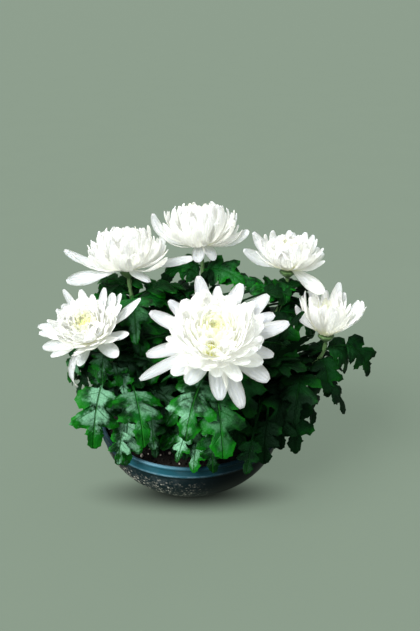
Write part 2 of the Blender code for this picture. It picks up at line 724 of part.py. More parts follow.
def make_heart(index, collection, finish):
    """The tight middle of a bloom: a low dome ringed with unopened florets."""
    bloom = BLOOMS[index]
    profile = [(0.0, HEART_HEIGHT)]
    for k in range(1, HEART_RINGS + 1):
        share = k / HEART_RINGS
        dome = HEART_HEIGHT * math.cos(0.5 * math.pi * share**1.4)
        profile.append((HEART_RADIUS * (share - 0.5 / HEART_RINGS), dome + 0.0002))
        profile.append((HEART_RADIUS * share, max(dome, 0.0012)))
    profile += [(HEART_RADIUS * 0.9, 0.0), (0.0, 0.0)]
    heart = applied(turned(f"bloom_{index + 1}_heart", profile, HEART_SEGMENTS, collection, finish))
    for vertex in heart.data.vertices:
        radius = math.hypot(vertex.co.x, vertex.co.y)
        if vertex.co.z > 0.0011 and radius > 0.001:
            turn = math.atan2(vertex.co.y, vertex.co.x)
            vertex.co.z += HEART_WAVE * math.cos(5 * turn + 9 * radius / HEART_RADIUS)
    lift = Matrix.Translation((0, 0, bloom.core_height + GAP))
    place = Matrix.Translation(bloom.base) @ Matrix(bloom.turn.tolist()).to_4x4() @ lift
    heart.data.transform(place)
    return heart


def make_stem(index, collection, finish):
    """A bare stem: a tapering tube that widens into the green cup under its bloom."""
    line = stem_line(index, 61)
    run = np.concatenate([[0], np.cumsum(np.linalg.norm(np.diff(line, axis=0), axis=1))])
    bare = np.linspace(PLANTING_DEPTH, run[-1] - CALYX_LENGTH, STEM_STATIONS - 1)
    stations = np.concatenate([[0.0], bare, run[-1] - CALYX_LENGTH * np.array([0.55, 0.0])])
    radii = np.linspace(1.0, STEM_TAPER, STEM_STATIONS) * STEM_RADIUS
    radii = np.append(radii, [0.72 * CALYX_RADIUS, CALYX_RADIUS])
    curve = bpy.data.curves.new(f"leafy_stem_{index + 1}", "CURVE")
    curve.dimensions = "3D"
    curve.bevel_depth = 1.0
    curve.bevel_resolution = 1
    curve.use_fill_caps = True
    spline = curve.splines.new("POLY")
    spline.points.add(len(stations) - 1)
    for point, at, radius in zip(spline.points, stations, radii):
        point.co = (*[np.interp(at, run, line[:, k]) for k in range(3)], 1.0)
        point.radius = radius
    tube = bpy.data.objects.new("tube", curve)
    collection.objects.link(tube)
    bpy.context.view_layer.update()
    graph = bpy.context.evaluated_depsgraph_get()
    mesh = bpy.data.meshes.new_from_object(tube.evaluated_get(graph))
    bpy.data.objects.remove(tube, do_unlink=True)
    shape = bmesh.new()
    shape.from_mesh(mesh)
    bmesh.ops.remove_doubles(shape, verts=shape.verts, dist=0.00001)
    bmesh.ops.recalc_face_normals(shape, faces=shape.faces)
    shape.to_mesh(mesh)
    shape.free()
    return add_object(f"leafy_stem_{index + 1}", mesh, collection, finish)


def leaf_mesh(name, leaf):
    """One leaf as a loft: a stalk, then an arched, lobed blade that is thickest along its midrib.

    The leaves that show from the front are folded along the midrib, the others are flat on top.
    """
    u = leaf.edge[:, 0]
    rib, _, up = leaf.frames(u)
    left = leaf.surface(u, -np.ones(len(u)))
    right = leaf.surface(u, np.ones(len(u)))
    root, side, over = (found[0] for found in leaf.frames(np.array([leaf.foot()])))
    folded = leaf.edge is not BACK_LEAF
    shape = bmesh.new()
    side, over = side * STALK_HALF, over * STALK_HALF
    rows = [[root - side, root + over, root + side, root - over]]
    for k in range(len(u) - 1):
        keel = up[k] * 0.5 * LEAF_KEEL
        rows.append([left[k], rib[k] + keel, right[k], rib[k] - keel])
    rings = [[shape.verts.new(at) for j, at in enumerate(row) if folded or j != 1] for row in rows]
    count = len(rings[0])
    for a, b in zip(rings, rings[1:]):
        for j in range(count):
            shape.faces.new((a[j], a[(j + 1) % count], b[(j + 1) % count], b[j]))
    tip = shape.verts.new(rib[-1])
    for j in range(count):
        shape.faces.new((rings[-1][j], rings[-1][(j + 1) % count], tip))
    shape.faces.new(rings[0][::-1])
    bmesh.ops.triangulate(shape, faces=shape.faces)
    bmesh.ops.recalc_face_normals(shape, faces=shape.faces)
    mesh = bpy.data.meshes.new(name)
    shape.to_mesh(mesh)
    shape.free()
    return mesh


def make_leafy_stem(index, leaves, collection, finish):
    """A stem with its leaves fused to it."""
    stem = make_stem(index, collection, finish)
    pieces = new_collection("leaves")
    for k, leaf in enumerate(leaves):
        add_object(f"leaf_{k}", leaf_mesh(f"leaf_{k}", leaf), pieces, finish)
    return fuse(stem, pieces)


def main():
    clear_scene()
    plant = new_collection("pot_chrysanthemum")
    white = material("petal_white", WHITE, 0.55)
    cream = material("heart_cream", CREAM, 0.6)
    green = material("leaf_green", GREEN, 0.45)
    blue = material("bowl_blue", BOWL_BLUE, 0.4)
    brown = material("soil_brown", SOIL_BROWN, 0.95)
    make_bowl(plant, new_collection("drain_cutters"), blue)
    make_soil(plant, new_collection("hole_cutters"), brown)
    for index, leaves in enumerate(place_leaves()):
        make_leafy_stem(index, leaves, plant, green)
        make_bloom(index, plant, white)
        make_heart(index, plant, cream)


main()
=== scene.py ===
"""The look of a potted chrysanthemum: six white blooms on leafy stems in a low blue bowl.

Laid out as an add-on and run as a script. Metres, +Z up, and the viewer's side is -Y.
"""

import math

import bpy
import numpy as np
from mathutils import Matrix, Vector


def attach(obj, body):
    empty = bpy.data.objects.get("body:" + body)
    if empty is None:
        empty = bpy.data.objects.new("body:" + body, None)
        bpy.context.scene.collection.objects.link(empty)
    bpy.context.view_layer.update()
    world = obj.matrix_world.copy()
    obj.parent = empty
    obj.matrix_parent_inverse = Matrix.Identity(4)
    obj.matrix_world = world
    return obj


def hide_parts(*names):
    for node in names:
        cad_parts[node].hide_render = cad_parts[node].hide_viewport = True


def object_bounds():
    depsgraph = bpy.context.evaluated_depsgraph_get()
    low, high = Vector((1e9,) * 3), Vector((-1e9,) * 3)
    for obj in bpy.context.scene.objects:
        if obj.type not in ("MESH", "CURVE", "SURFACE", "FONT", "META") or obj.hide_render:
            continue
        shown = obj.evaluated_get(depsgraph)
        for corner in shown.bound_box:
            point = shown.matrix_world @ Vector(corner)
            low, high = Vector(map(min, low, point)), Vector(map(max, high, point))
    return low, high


bl_info = {
    "name": "Pot chrysanthemum",
    "version": (1, 0, 0),
    "blender": (4, 5, 0),
    "location": "View3D > Sidebar > Chrysanthemum",
    "description": "Fine surfaces and finishes of a potted chrysanthemum, on its CAD frame",
    "category": "Add Mesh",
}

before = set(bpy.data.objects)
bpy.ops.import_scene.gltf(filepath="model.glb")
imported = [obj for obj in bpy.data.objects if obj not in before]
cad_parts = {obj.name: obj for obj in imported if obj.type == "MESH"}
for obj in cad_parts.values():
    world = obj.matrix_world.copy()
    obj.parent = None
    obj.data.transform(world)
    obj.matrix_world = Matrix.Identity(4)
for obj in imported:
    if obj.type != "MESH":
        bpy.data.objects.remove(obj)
SOLID_BOX = [[float(value) for value in corner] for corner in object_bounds()]

# The bowl and its soil, as in the solids
RIM_RADIUS = 0.090
FOOT_RADIUS = 0.038
BOWL_HEIGHT = 0.067
COLLAR_HEIGHT = 0.011
BOWL_FLARE = 1.6
COLLAR_STEP = 0.0022
BOWL_WALL = 0.0024
BOWL_FLOOR = 0.0030
DRAIN_COUNT = 4
DRAIN_RADIUS = 0.0035
DRAIN_CIRCLE = 0.022
GAP = 0.0003
SOIL_DROP = 0.0085
SOIL_MOUND = 0.006
PLANTING_DEPTH = 0.016

# Stems and petals, as in the solids
STEM_RADIUS = 0.0023
CALYX_RADIUS = 0.0078
CALYX_LENGTH = 0.0065
GOLDEN_ANGLE = math.radians(137.508)
PETAL_SINK = 0.0035
HEART_RADIUS = 0.0056
HEART_HEIGHT = 0.0042

# Leaves, as in the solids
LEAF_FOLD = 0.25
LOBE_SWEEP = 0.60
FRONT_LEAF = np.array((
    (0.0, 0.03), (0.05, 0.27), (0.13, 0.34), (0.27, 0.14), (0.30, 0.28), (0.41, 0.35), (0.60, 0.12),
    (0.66, 0.17), (0.82, 0.12), (1.0, 0.0),
))
BACK_LEAF = np.array(((0.0, 0.04), (0.09, 0.33), (0.27, 0.16), (0.38, 0.38), (0.60, 0.18), (1.0, 0.0)))
LEAF_GAP = 0.0058
OWN_LEAF_GAP = 0.0040
ROOT_ROOM = 0.016
TRIES = 60
SEED = 20

# How finely the surfaces are drawn, and their small forms
PETAL_STEPS = 40
PETAL_STATIONS = (0.0, 0.15, 0.31, 0.47, 0.62, 0.76, 0.87, 0.95, 1.0)
PETAL_AROUND = 8
LEAF_AROUND = 16
STALK_RINGS = 5
STEM_RINGS = 64
STEM_AROUND = 24
STEM_TAPER = 0.80
STEM_JOINTS = 0.013
BOWL_AROUND = 192
SOIL_AROUND = 150
SOIL_RINGS = 46
SOIL_HUMPS = ((160, 0.0075), (700, 0.0030))
HUMP_RANGE = (-0.0012, 0.0030)
CRUMBS = 420
CRUMB_SIZES = (0.0008, 0.0022)
PALE_CRUMBS = 0.16
FLORETS = 60
FILL_PETALS = 0.6
STALK_RADII = (0.0013, 0.0010)
TOOTH = 0.034
VEIN_SHIFT = 0.030
PILLOW = 0.014
WAVE = 0.030
PETAL_FURROWS = 4

# Petals are drawn this much shorter than in the solids, so that their thickness stays inside the solids' box
PETAL_TRIM = 0.998

# The floor: half its width, and the scale and shift that turn the painted shadow under the bowl, an ellipse,
# into a circle of radius 1
FLOOR_REACH = 40.0
FLOOR_SHADE = ((8.4, 29.0, 1.0), (0.0, 1.2, 0.0))

# The camera: place, degrees that it looks down, focal length and image height in the photo's pixels, and
# the size in mm of the sensor along the image's height
CAMERA_PLACE = (0.0185, -0.603, 0.4679)
CAMERA_TILT = 25.96
FOCAL_PIXELS = 720.0
IMAGE_PIXELS = 631.0
SENSOR = 36.0

# Half of a leaf's outline, in thousandths of the blade's length: how far along the midrib the vein to each
# point leaves it, and where the point is, along and across. A lobe's vein runs to the middle of its outline.
LEAF_OUTLINE = np.array((
    (0, 0, 20), (10, 20, 50), (20, 35, 130), (30, 60, 210), (40, 95, 265), (50, 150, 320), (65, 215, 350),
    (80, 280, 345), (100, 325, 305), (120, 335, 235), (150, 335, 165), (180, 350, 125), (210, 375, 150),
    (240, 400, 215), (260, 430, 270), (280, 475, 305), (300, 525, 330), (320, 570, 330), (345, 605, 300),
    (370, 622, 240), (410, 618, 175), (450, 615, 120), (490, 640, 92), (530, 680, 104), (570, 720, 130),
    (600, 765, 145), (650, 810, 138), (700, 845, 112), (760, 885, 112), (820, 930, 92), (880, 960, 64),
    (940, 985, 35), (995, 1000, 6),
)) / 1000
VEIN_ROWS = (0, 7, 11, 17.5, 22, 26, 32)


class Bloom:
    """One flower head: where it stands, which way it faces, and how its petals open. Lengths come in mm."""

    def __init__(self, foot, axis, petals, core, lengths, fill, width, outer, inner_end, closing, strays):
        self.base = np.array(foot) / 1000
        self.axis = Vector(axis).normalized()
        self.turn = np.array(Vector((0, 0, 1)).rotation_difference(self.axis).to_matrix(), float)
        self.petals = petals
        self.core_radius, self.core_height = np.array(core) / 1000
        self.inner_length, self.outer_length = np.array(lengths) / 1000
        self.fill = fill
        self.width = width / 1000
        self.outer_start, self.outer_end = outer
        self.inner_end = inner_end
        self.closing = closing
        self.strays = strays


# In order: foot, axis, petal count, core radius and height, inner and outer petal length, how slowly it grows
# outwards, petal width, outer petals' start and end angle, inner petals' end angle, how far the middle ones
# close over, and the strays. A stray is a long outer petal: azimuth in degrees (-90 faces the viewer),
# length, start and end angle, width, twist.
BLOOMS = (
    Bloom((-58, 20, 211), (-0.08, 0.3, 0.95), 150, (14, 20), (18, 45), 0.9, 12.2, (-8, 64), 100, 30, (
        (178, 60, 6, 44, 12, -40), (206, 56, -10, -2, 17, -35), (-4, 60, 0, 12, 11, 50),
        (-58, 36, -26, -14, 17, 0), (30, 50, 10, 80, 11, 30), (110, 50, 5, 20, 12, 0))),
    Bloom((10, 60, 219), (-0.06, 0.3, 0.95), 140, (15, 22), (20, 47), 0.9, 11.8, (-10, 72), 100, 30, (
        (181, 60, 2, 92, 11, -50), (-12, 48, -8, 46, 14, 40), (14, 46, 0, 30, 12, 40),
        (-98, 26, -25, -60, 13, 0), (-62, 26, -25, -55, 12, 0), (95, 48, 5, 30, 12, 0))),
    Bloom((92, 28, 208), (0.0, 0.04, 1.0), 72, (11, 13), (16, 38), 0.9, 11.8, (20, 66), 98, 8, (
        (174, 46, 40, 64, 12, -50), (192, 46, 20, 40, 13, -40), (-48, 42, -26, -14, 14, 0),
        (5, 34, 14, 44, 13, 30), (-20, 34, 6, 34, 12, 10))),
    Bloom((128, 0, 154), (0.0, 0.02, 1.0), 46, (10, 10), (26, 44), 0.9, 11.8, (30, 90), 100, 2, (
        (-6, 46, 28, 84, 12, 40), (14, 42, 28, 78, 11, 20), (184, 46, 40, 92, 11, -30),
        (168, 38, 24, 72, 11, -20), (120, 52, 50, 84, 10, 0))),
    Bloom((22, -56, 174), (0.03, -0.46, 0.89), 120, (20, 19), (14, 47), 0.85, 15, (2, 26), 100, 8, (
        (104, 60, 12, 25, 16, 0), (62, 56, 14, 24, 16, 0), (6, 62, 0, 18, 17, 20),
        (212, 68, -2, -6, 12, -15), (-84, 47, -6, -20, 19, 0), (-66, 56, -8, -26, 17, 0),
        (-46, 46, -6, -10, 17, 0), (166, 50, 4, 16, 16, -10))),
    Bloom((-84, -46, 176), (-0.22, -0.4, 0.89), 84, (13, 14), (13, 37), 1.0, 12.2, (8, 40), 94, 0, (
        (160, 50, 10, 0, 13, -10), (180, 44, 12, 14, 13, 0), (112, 44, 30, 48, 9, 0),
        (18, 52, 10, 34, 13, 0), (235, 52, -6, -96, 14, 0), (-50, 38, 0, 14, 14, 0))),
)

# Blooms that are drawn with more petals than their solids have, by their place in BLOOMS
DRAWN_BLOOMS = {
    2: Bloom((92, 28, 208), (0.0, 0.04, 1.0), 88, (11, 13), (16, 38), 0.9, 10.4, (18, 62), 98, 14, (
        (174, 46, 40, 64, 12, -50), (192, 46, 20, 40, 13, -40), (-44, 42, -24, -14, 13, 40),
        (5, 34, 14, 44, 11, 30), (-20, 34, 6, 40, 11, 10), (-34, 30, 10, 70, 10, 0),
        (28, 36, 10, 50, 10, 20), (-8, 36, 0, 84, 10, 0), (150, 36, 40, 70, 10, 0))),
    3: Bloom((128, 0, 154), (0.0, 0.02, 1.0), 62, (10, 10), (22, 43), 0.9, 9.8, (32, 82), 100, 0, (
        (-6, 46, 28, 84, 12, 40), (14, 42, 28, 78, 11, 20), (184, 46, 40, 92, 11, -30),
        (168, 38, 24, 72, 11, -20), (120, 52, 50, 84, 10, 0), (-40, 36, 30, 60, 10, 20),
        (-80, 40, 50, 96, 9, 0), (-110, 41, 52, 84, 10, -10), (60, 48, 55, 76, 10, 0))),
    4: Bloom((22, -56, 174), (0.03, -0.46, 0.89), 130, (20, 19), (15, 41), 0.85, 13.8, (0, 30), 112, 12, (
        (104, 61, 12, 25, 14, 0), (87, 51, 10, 24, 11, 0), (66, 57, 14, 24, 14, 0),
        (43, 63, 6, 20, 15, 10), (27, 56, 4, 14, 14, 0), (12, 64, 2, 26, 14, 20), (139, 52, 8, 24, 13, 0),
        (157, 59, 4, 18, 13, -10), (191, 56, 2, -14, 13, -10), (208, 68, -2, -16, 10, -15),
        (225, 46, 4, 2, 16, 0), (243, 45, 4, 0, 17, 0), (-84, 49, -6, -20, 16, 0),
        (-66, 59, -8, -30, 15, 0), (-36, 54, -4, -10, 16, 0), (-14, 49, 0, 4, 15, 0))),
    5: Bloom((-84, -46, 176), (-0.22, -0.4, 0.89), 96, (13, 14), (13, 36), 1.0, 10.6, (10, 50), 94, 4, (
        (160, 50, 10, 0, 10, -10), (176, 43, 12, 24, 12, 0), (118, 46, 30, 40, 7, 0),
        (18, 52, 10, 34, 12, 0), (232, 54, 4, -110, 10, 30), (-50, 38, 0, 14, 13, 0),
        (194, 40, 4, 20, 12, 0), (208, 36, 0, 12, 12, 0), (254, 30, -6, 10, 10, 0),
        (98, 40, 24, 46, 10, 0), (64, 41, 20, 44, 10, 0), (40, 42, 14, 40, 10, 0),
        (-22, 38, 4, 30, 11, 0))),
}

# Painted glow of the petals in the middle and at the outside of each bloom, as shares of the most
BLOOM_PAINTED_GLOW = ((0.35, 0.0), (0.20, 0.0), (0.0, 0.0), (0.15, 0.15), (0.58, 0.22), (0.0, 0.0))

# How far the heart of each bloom is from yellow to cream
HEART_PALE = (0.8, 0.8, 0.8, 0.8, 0.8, 0.0)

# How much further the cream reaches on the outer petals of each bloom, as a share of their length
BLOOM_CREAM = (0.0, 0.0, 0.26, 0.26, 0.0, 0.22)

# Where the petals of the large bloom part and show their cream roots
FRONT_PARTING = (0.020, -0.088, 0.186)

# Where each stem leaves the soil, and how far it bows outwards on its way up
STEM_FEET = (
    (-0.030, 0.014), (0.004, 0.036), (0.034, 0.016), (0.038, -0.012), (0.010, -0.034), (-0.030, -0.022),
)
STEM_BOWS = (0.045, 0.050, 0.045, 0.045, 0.035, 0.045)


# Where everything grows


# The centre lines of the stems, which place_leaves fills in
STEM_LINES = []


def turns(count):
    """Equal steps round a circle, in radians."""
    return 2 * np.pi * np.arange(count) / count


def unit(vectors):
    """The same directions at length 1."""
    return vectors / np.linalg.norm(vectors, axis=-1, keepdims=True)


def run_along(line):
    """The distance run at each point of a line."""
    return np.concatenate([[0], np.cumsum(np.linalg.norm(np.diff(line, axis=0), axis=1))])


def points_at(line, run, at):
    """The points of a line where it has run these distances."""
    return np.stack([np.interp(at, run, line[:, k]) for k in range(3)], -1)


def smooth_line(a, b, c, d, count):
    """Points along the cubic Bezier curve through a and d that leaves towards b and arrives from c."""
    t = np.linspace(0, 1, count)[:, None]
    return a * (1 - t) ** 3 + 3 * b * t * (1 - t) ** 2 + 3 * c * t**2 * (1 - t) + d * t**3


def soil_level(radius):
    """Height of the soil's smooth surface: a quarter cosine wave from the mound's top down to the wall."""
    inner = RIM_RADIUS - BOWL_WALL - COLLAR_STEP
    return BOWL_HEIGHT - SOIL_DROP + SOIL_MOUND * np.cos(0.5 * np.pi * np.minimum(1.0, radius / inner))


def stem_line(index, count):
    """The centre line of a stem: straight in its hole in the soil, bowed, and straight under its bloom."""
    bloom = BLOOMS[index]
    axis = np.array(bloom.axis)
    x, y = STEM_FEET[index]
    level = float(soil_level(math.hypot(x, y)))
    low = np.array([x, y, level + 0.001])
    top = bloom.base - axis * GAP
    neck = top - axis * (CALYX_LENGTH + 0.002)
    bow = STEM_BOWS[index]
    middle = smooth_line(low, low + np.array([0, 0, bow]), neck - axis * bow, neck, count - 2)
    return np.concatenate([[[x, y, level - PLANTING_DEPTH + GAP]], middle, [top]])


def core_profile(bloom):
    """(radius, height) of the core that the petals stand out of, from its top edge down to its foot."""
    r, h = bloom.core_radius, bloom.core_height
    middle = [(0.72 * r, 0.90 * h), (r, 0.62 * h), (0.82 * r, 0.30 * h)]
    return np.array([(HEART_RADIUS + 0.001, h), *middle, (CALYX_RADIUS, 0.0)])


def inner_petals(bloom, index):
    """The petals of petal_list, after smaller ones that close the gaps in the inner part of the layers."""
    petals = petal_list(bloom, index)
    rng = np.random.default_rng(SEED + 70 + index)
    count = int(FILL_PETALS * bloom.petals)
    more = {key: value[:count] for key, value in petals.items()}
    more["azimuth"] = more["azimuth"] + 0.5 * GOLDEN_ANGLE + 0.15 * rng.normal(size=count)
    more["length"] = more["length"] * rng.uniform(0.75, 0.97, count)
    more["width"] = more["width"] * rng.uniform(0.80, 1.0, count)
    more["start"] = more["start"] + rng.uniform(-4, 4, count)
    return {key: np.concatenate([more[key], petals[key]]) for key in petals}


def petal_list(bloom, index):
    """Root, direction, bend and size of every petal of a bloom, the inner ones first.

    Petal k stands k golden angles round the axis. Its place in the layers, (k + 0.5) / count, sets the rest.
    """
    count = bloom.petals
    layer = (np.arange(count) + 0.5) / count
    profile = core_profile(bloom)
    steps = np.linspace(0, 1, len(profile))
    shift = np.random.default_rng(SEED + index).normal(size=(count, 5)).T
    end = bloom.inner_end + (bloom.outer_end - bloom.inner_end) * layer**1.3 + 8 * shift[2] * (0.4 + layer)
    length = bloom.inner_length + (bloom.outer_length - bloom.inner_length) * layer**bloom.fill
    found = {
        "radius": np.interp(layer**0.85, steps, profile[:, 0]) - 0.0005,
        "height": np.interp(layer**0.85, steps, profile[:, 1]),
        "azimuth": np.arange(count) * GOLDEN_ANGLE + 0.10 * shift[0],
        "start": 86 + (bloom.outer_start - 86) * layer**0.9 + 4 * shift[1],
        "end": end + bloom.closing * np.sin(math.pi * layer),
        "length": length * (1 + 0.09 * np.clip(shift[3], -1.6, 1.6)),
        "width": bloom.width * (0.50 + 0.50 * layer**0.6) * (1 + 0.08 * shift[4]),
        "twist": np.zeros(count),
    }
    for azimuth, length, start, end, width, twist in bloom.strays:
        row = [math.radians(azimuth), start, end, length / 1000, width / 1000, twist]
        row = [CALYX_RADIUS - 0.001, 0.0022, *row]
        found = {key: np.append(found[key], value) for key, value in zip(found, row)}
    return found


def petal_frames(bloom, petals, stations):
    """Centre points, sideways and upward directions of petals at these shares of their length, in world axes.

    A petal's slope goes from its start to its end angle with the 1.4th power of the way along, and its centre
    line is the running sum of that slope.
    """
    s = np.asarray(stations, float)[None, :]
    start, end = np.radians(petals["start"])[:, None], np.radians(petals["end"])[:, None]
    angle = start + (end - start) * np.linspace(0, 1, PETAL_STEPS + 1)[None, :] ** 1.4
    slope = 0.5 * (angle[:, 1:] + angle[:, :-1])
    length = petals["length"][:, None]
    at = np.clip(s[0] * PETAL_STEPS, 0, PETAL_STEPS)

    def summed(steps):
        """The running sum of a petal's steps, at the stations."""
        sums = np.concatenate([np.zeros_like(length), np.cumsum(steps * (length / PETAL_STEPS), 1)], 1)
        return np.stack([np.interp(at, np.arange(PETAL_STEPS + 1), row) for row in sums])

    tilt = start + (end - start) * s**1.4
    cosine, sine = np.cos(petals["azimuth"])[:, None], np.sin(petals["azimuth"])[:, None]
    radial = petals["radius"][:, None] - PETAL_SINK * np.cos(start) + summed(np.cos(slope))
    foot = np.maximum(petals["height"][:, None] - PETAL_SINK * np.sin(start), 0.0016)
    centre = np.stack([radial * cosine, radial * sine, foot + summed(np.sin(slope))], -1)
    side = np.stack([-sine + 0 * tilt, cosine + 0 * tilt, 0 * tilt], -1)
    up = np.stack([-np.sin(tilt) * cosine, -np.sin(tilt) * sine, np.cos(tilt)], -1)
    twist = (np.radians(petals["twist"])[:, None] * np.clip(1.6 * s, 0, 1))[..., None]
    side, up = side * np.cos(twist) + up * np.sin(twist), up * np.cos(twist) - side * np.sin(twist)
    return centre @ bloom.turn.T + bloom.base, side @ bloom.turn.T, up @ bloom.turn.T


def petal_half_width(s):
    """Half width of a petal, as a share of its full width: a sine from the claw, and a rounded tip."""
    claw = 0.26 + 0.74 * np.sin(0.5 * np.pi * np.clip(s / 0.64, 0, 1)) ** 1.2
    tip = np.sqrt(np.clip(1 - (np.clip(s - 0.64, 0, None) / 0.375) ** 2, 0, 1))
    return 0.5 * claw * tip


def bloom_cloud(bloom, index):
    """Points all over a bloom's petals, to keep leaves clear of them."""
    petals = petal_list(bloom, index)
    stations = np.linspace(0.1, 1, 9)
    centre, side, _ = petal_frames(bloom, petals, stations)
    half = petal_half_width(stations)[None, :, None] * petals["width"][:, None, None]
    return np.concatenate([(centre + q * half * side).reshape(-1, 3) for q in (-1, 0, 1)])


def stem_point(stem, share):
    """The point this share of the way up a stem."""
    line = STEM_LINES[stem]
    return line[int(round(share * (len(line) - 1)))]


class Leaf:
    """One leaf: the stem it grows on, its place there, its tip, its blade and how it is turned."""

    def __init__(self, stem, share, tip, blade, lift, roll, edge=FRONT_LEAF):
        self.stem, self.share, self.tip, self.blade = stem, share, np.array(tip, float), blade
        self.lift, self.roll, self.edge = lift, roll, edge
        self.inner = False

    def curve(self):
        """The middle line, a quadratic Bezier from the stem to the tip, and the distance run along it."""
        root = stem_point(self.stem, self.share)
        across = self.tip - root
        outward = np.array([across[0], across[1], 0.0])
        reach = max(np.linalg.norm(outward), 1e-6)
        outward /= reach
        hang = min(1.0, max(0.0, -across[2] / reach))
        bend = root + outward * (0.50 + 0.38 * hang) * reach
        bend[2] += max(0.0, across[2]) * 0.6 + self.lift
        t = np.linspace(0, 1, 61)[:, None]
        points = root * (1 - t) ** 2 + 2 * bend * t * (1 - t) + self.tip * t**2
        return points, run_along(points), outward

    def foot(self):
        """Where the stalk leaves the stem, in blade lengths from the blade's foot."""
        return 1 - self.curve()[1][-1] / self.blade

    def frames(self, along):
        """Points and sideways and upward directions at distances from the blade's foot, in blade lengths."""
        curve, run, outward = self.curve()
        along = np.asarray(along, float)
        want = np.clip(run[-1] + (along - 1) * self.blade, 0, run[-1])
        ahead = points_at(curve, run, np.minimum(want + 0.001, run[-1]))
        forward = unit(ahead - points_at(curve, run, np.maximum(want - 0.001, 0)))
        flat = np.array([-outward[1], outward[0], 0.0])
        side = unit(flat - forward * (forward @ flat)[..., None])
        up = np.cross(forward, side)
        turn = math.radians(self.roll) * np.clip(along * 2 + 0.6, 0, 1)[..., None]
        side, up = side * np.cos(turn) + up * np.sin(turn), up * np.cos(turn) - side * np.sin(turn)
        return points_at(curve, run, want), side, up

    def surface(self, u, q):
        """World points of the blade, for u from foot to tip and q from -1 to 1 across."""
        half = q * np.interp(u, self.edge[:, 0], self.edge[:, 1])
        points, side, up = self.frames(u + LOBE_SWEEP * np.abs(half))
        half = half[..., None] * self.blade
        return points + half * side + up * LEAF_FOLD * np.abs(half) * (1 - 1.6 * np.abs(half) / self.blade)

    def cloud(self):
        """Points all over the blade and along its stalk."""
        u, q = np.meshgrid(np.linspace(0.04, 1, 13), np.linspace(-1, 1, 5))
        stalk, _, _ = self.frames(np.linspace(-0.3, 0, 5))
        return np.concatenate([self.surface(u, q).reshape(-1, 3), stalk])


def leaf_rows(*rows):
    """Leaves from rows: stem, place on it in hundredths, tip, blade and lift in mm, turn in degrees."""
    return [Leaf(stem, place / 100, np.array(tip) / 1000, blade / 1000, lift / 1000, turn)
            for stem, place, *tip, blade, lift, turn in rows]


# The leaves that show from the front
FRONT_LEAVES = leaf_rows(
    (5, 70, -83, -90, 88, 56, 18, -24), (5, 56, -36, -108, 104, 56, 18, -8),
    (5, 42, -62, -94, 74, 30, 12, -10), (4, 74, -2, -112, 112, 60, 14, -10),
    (4, 66, 30, -114, 96, 62, 18, 8), (4, 50, 21, -100, 70, 34, 12, 0), (4, 36, -10, -98, 80, 26, 10, 0),
    (5, 34, -30, -88, 86, 34, 14, 10), (3, 60, 119, -8, 56, 50, 20, 30), (3, 92, 173, 0, 108, 46, 20, 55),
    (3, 84, 130, -24, 100, 42, 14, 10), (3, 70, 94, -62, 94, 54, 18, 6), (1, 90, 52, 34, 190, 44, 10, 45),
    (2, 86, 56, 12, 192, 42, 12, -35), (0, 90, -94, -2, 188, 38, 6, -40),
    (0, 74, -44, -36, 150, 50, 12, 0), (5, 90, -108, -44, 128, 34, 6, -35),
    (3, 44, 50, -100, 69, 30, 13, -11), (3, 52, 99, -49, 53, 52, 10, 12),
    (3, 62, 77, -57, 83, 51, 7, -27), (4, 81, 55, -82, 115, 49, 5, 41),
    (1, 84, -25, 46, 193, 38, 21, -47), (1, 87, 48, 56, 196, 40, 6, 29), (2, 95, 89, 6, 184, 34, 9, -19),
    (2, 71, 120, 18, 141, 52, 17, 32), (2, 72, 79, -30, 123, 56, 21, 2),
    (0, 87, -46, -42, 166, 49, 20, 15), (0, 65, -36, -42, 124, 52, 16, 20),
    (1, 76, -38, 17, 156, 50, 8, -39), (5, 84, -74, -74, 145, 33, 22, -15),
    (5, 32, -47, -81, 76, 35, 12, 6), (0, 36, -85, -33, 87, 53, 18, -39),
)

# Height over which the petals of the upper blooms are eased to stay below the top of the solids
TOP_EASE = 0.005

# Small leaves added to those of the solids where the photo shows them
ADDED_LEAVES = leaf_rows(
    (5, 46, -56, -86, 67, 40, 14, -15), (5, 52, -86, -60, 76, 46, 14, -25),
    (4, 30, 4, -96, 67, 34, 12, 5), (3, 93, 150, -4, 113, 40, 14, 30), (0, 86, -4, 40, 186, 44, 12, 10),
    (2, 84, 26, 46, 188, 46, 12, -10), (5, 80, -80, -52, 116, 36, 10, 0),
    (3, 46, 67, -77, 62, 40, 16, 10), (3, 50, 84, -56, 62, 42, 16, 15),
    (4, 90, 86, -45, 168, 40, 10, -30), (0, 94, -90, 34, 194, 34, 8, -20),
    (0, 95, -36, 34, 192, 30, 8, 20), (1, 92, -28, 62, 192, 36, 8, -20),
)

# Leaves of each stem by the spiral rule, and those that fill the gaps among them
BACK_LEAVES = 14
FILL_LEAVES = 44
FILL_TRIES = 14
FILL_GAP = 0.0035
BOX_MARGIN = 0.004


def rule_leaf(stem, order, attempt, rng):
    """A leaf of the spiral up a stem, drawn anew for each attempt: low ones reach up, high ones hang."""
    share = 0.12 + 0.74 * (order + 0.5) / BACK_LEAVES
    root = stem_point(stem, share)
    angle = stem * 1.1 + order * GOLDEN_ANGLE + rng.uniform(-1, 1) * (0.3 + 0.05 * attempt)
    size = (1.0 - 0.40 * share) * (1 - 0.006 * attempt) * rng.uniform(0.92, 1.06)
    reach = 0.064 * size * rng.uniform(0.85, 1.1)
    height = np.clip((root[2] - BOWL_HEIGHT - 0.02) / 0.06, -0.25, 1)
    drop = rng.uniform(0.0, 0.040) * size * height
    tip = root + np.array([reach * math.cos(angle), reach * math.sin(angle), -drop])
    return Leaf(stem, share, tip, 0.060 * size, rng.uniform(0.008, 0.018), rng.uniform(-16, 16), BACK_LEAF)


def nearest(points, others):
    """The least distance between two sets of points."""
    low, high = points.min(0) - 0.02, points.max(0) + 0.02
    near = others[np.all((others > low) & (others < high), axis=1)]
    if not len(near):
        return 1.0
    return float(np.sqrt(((points[:, None] - near[None]) ** 2).sum(-1).min()))


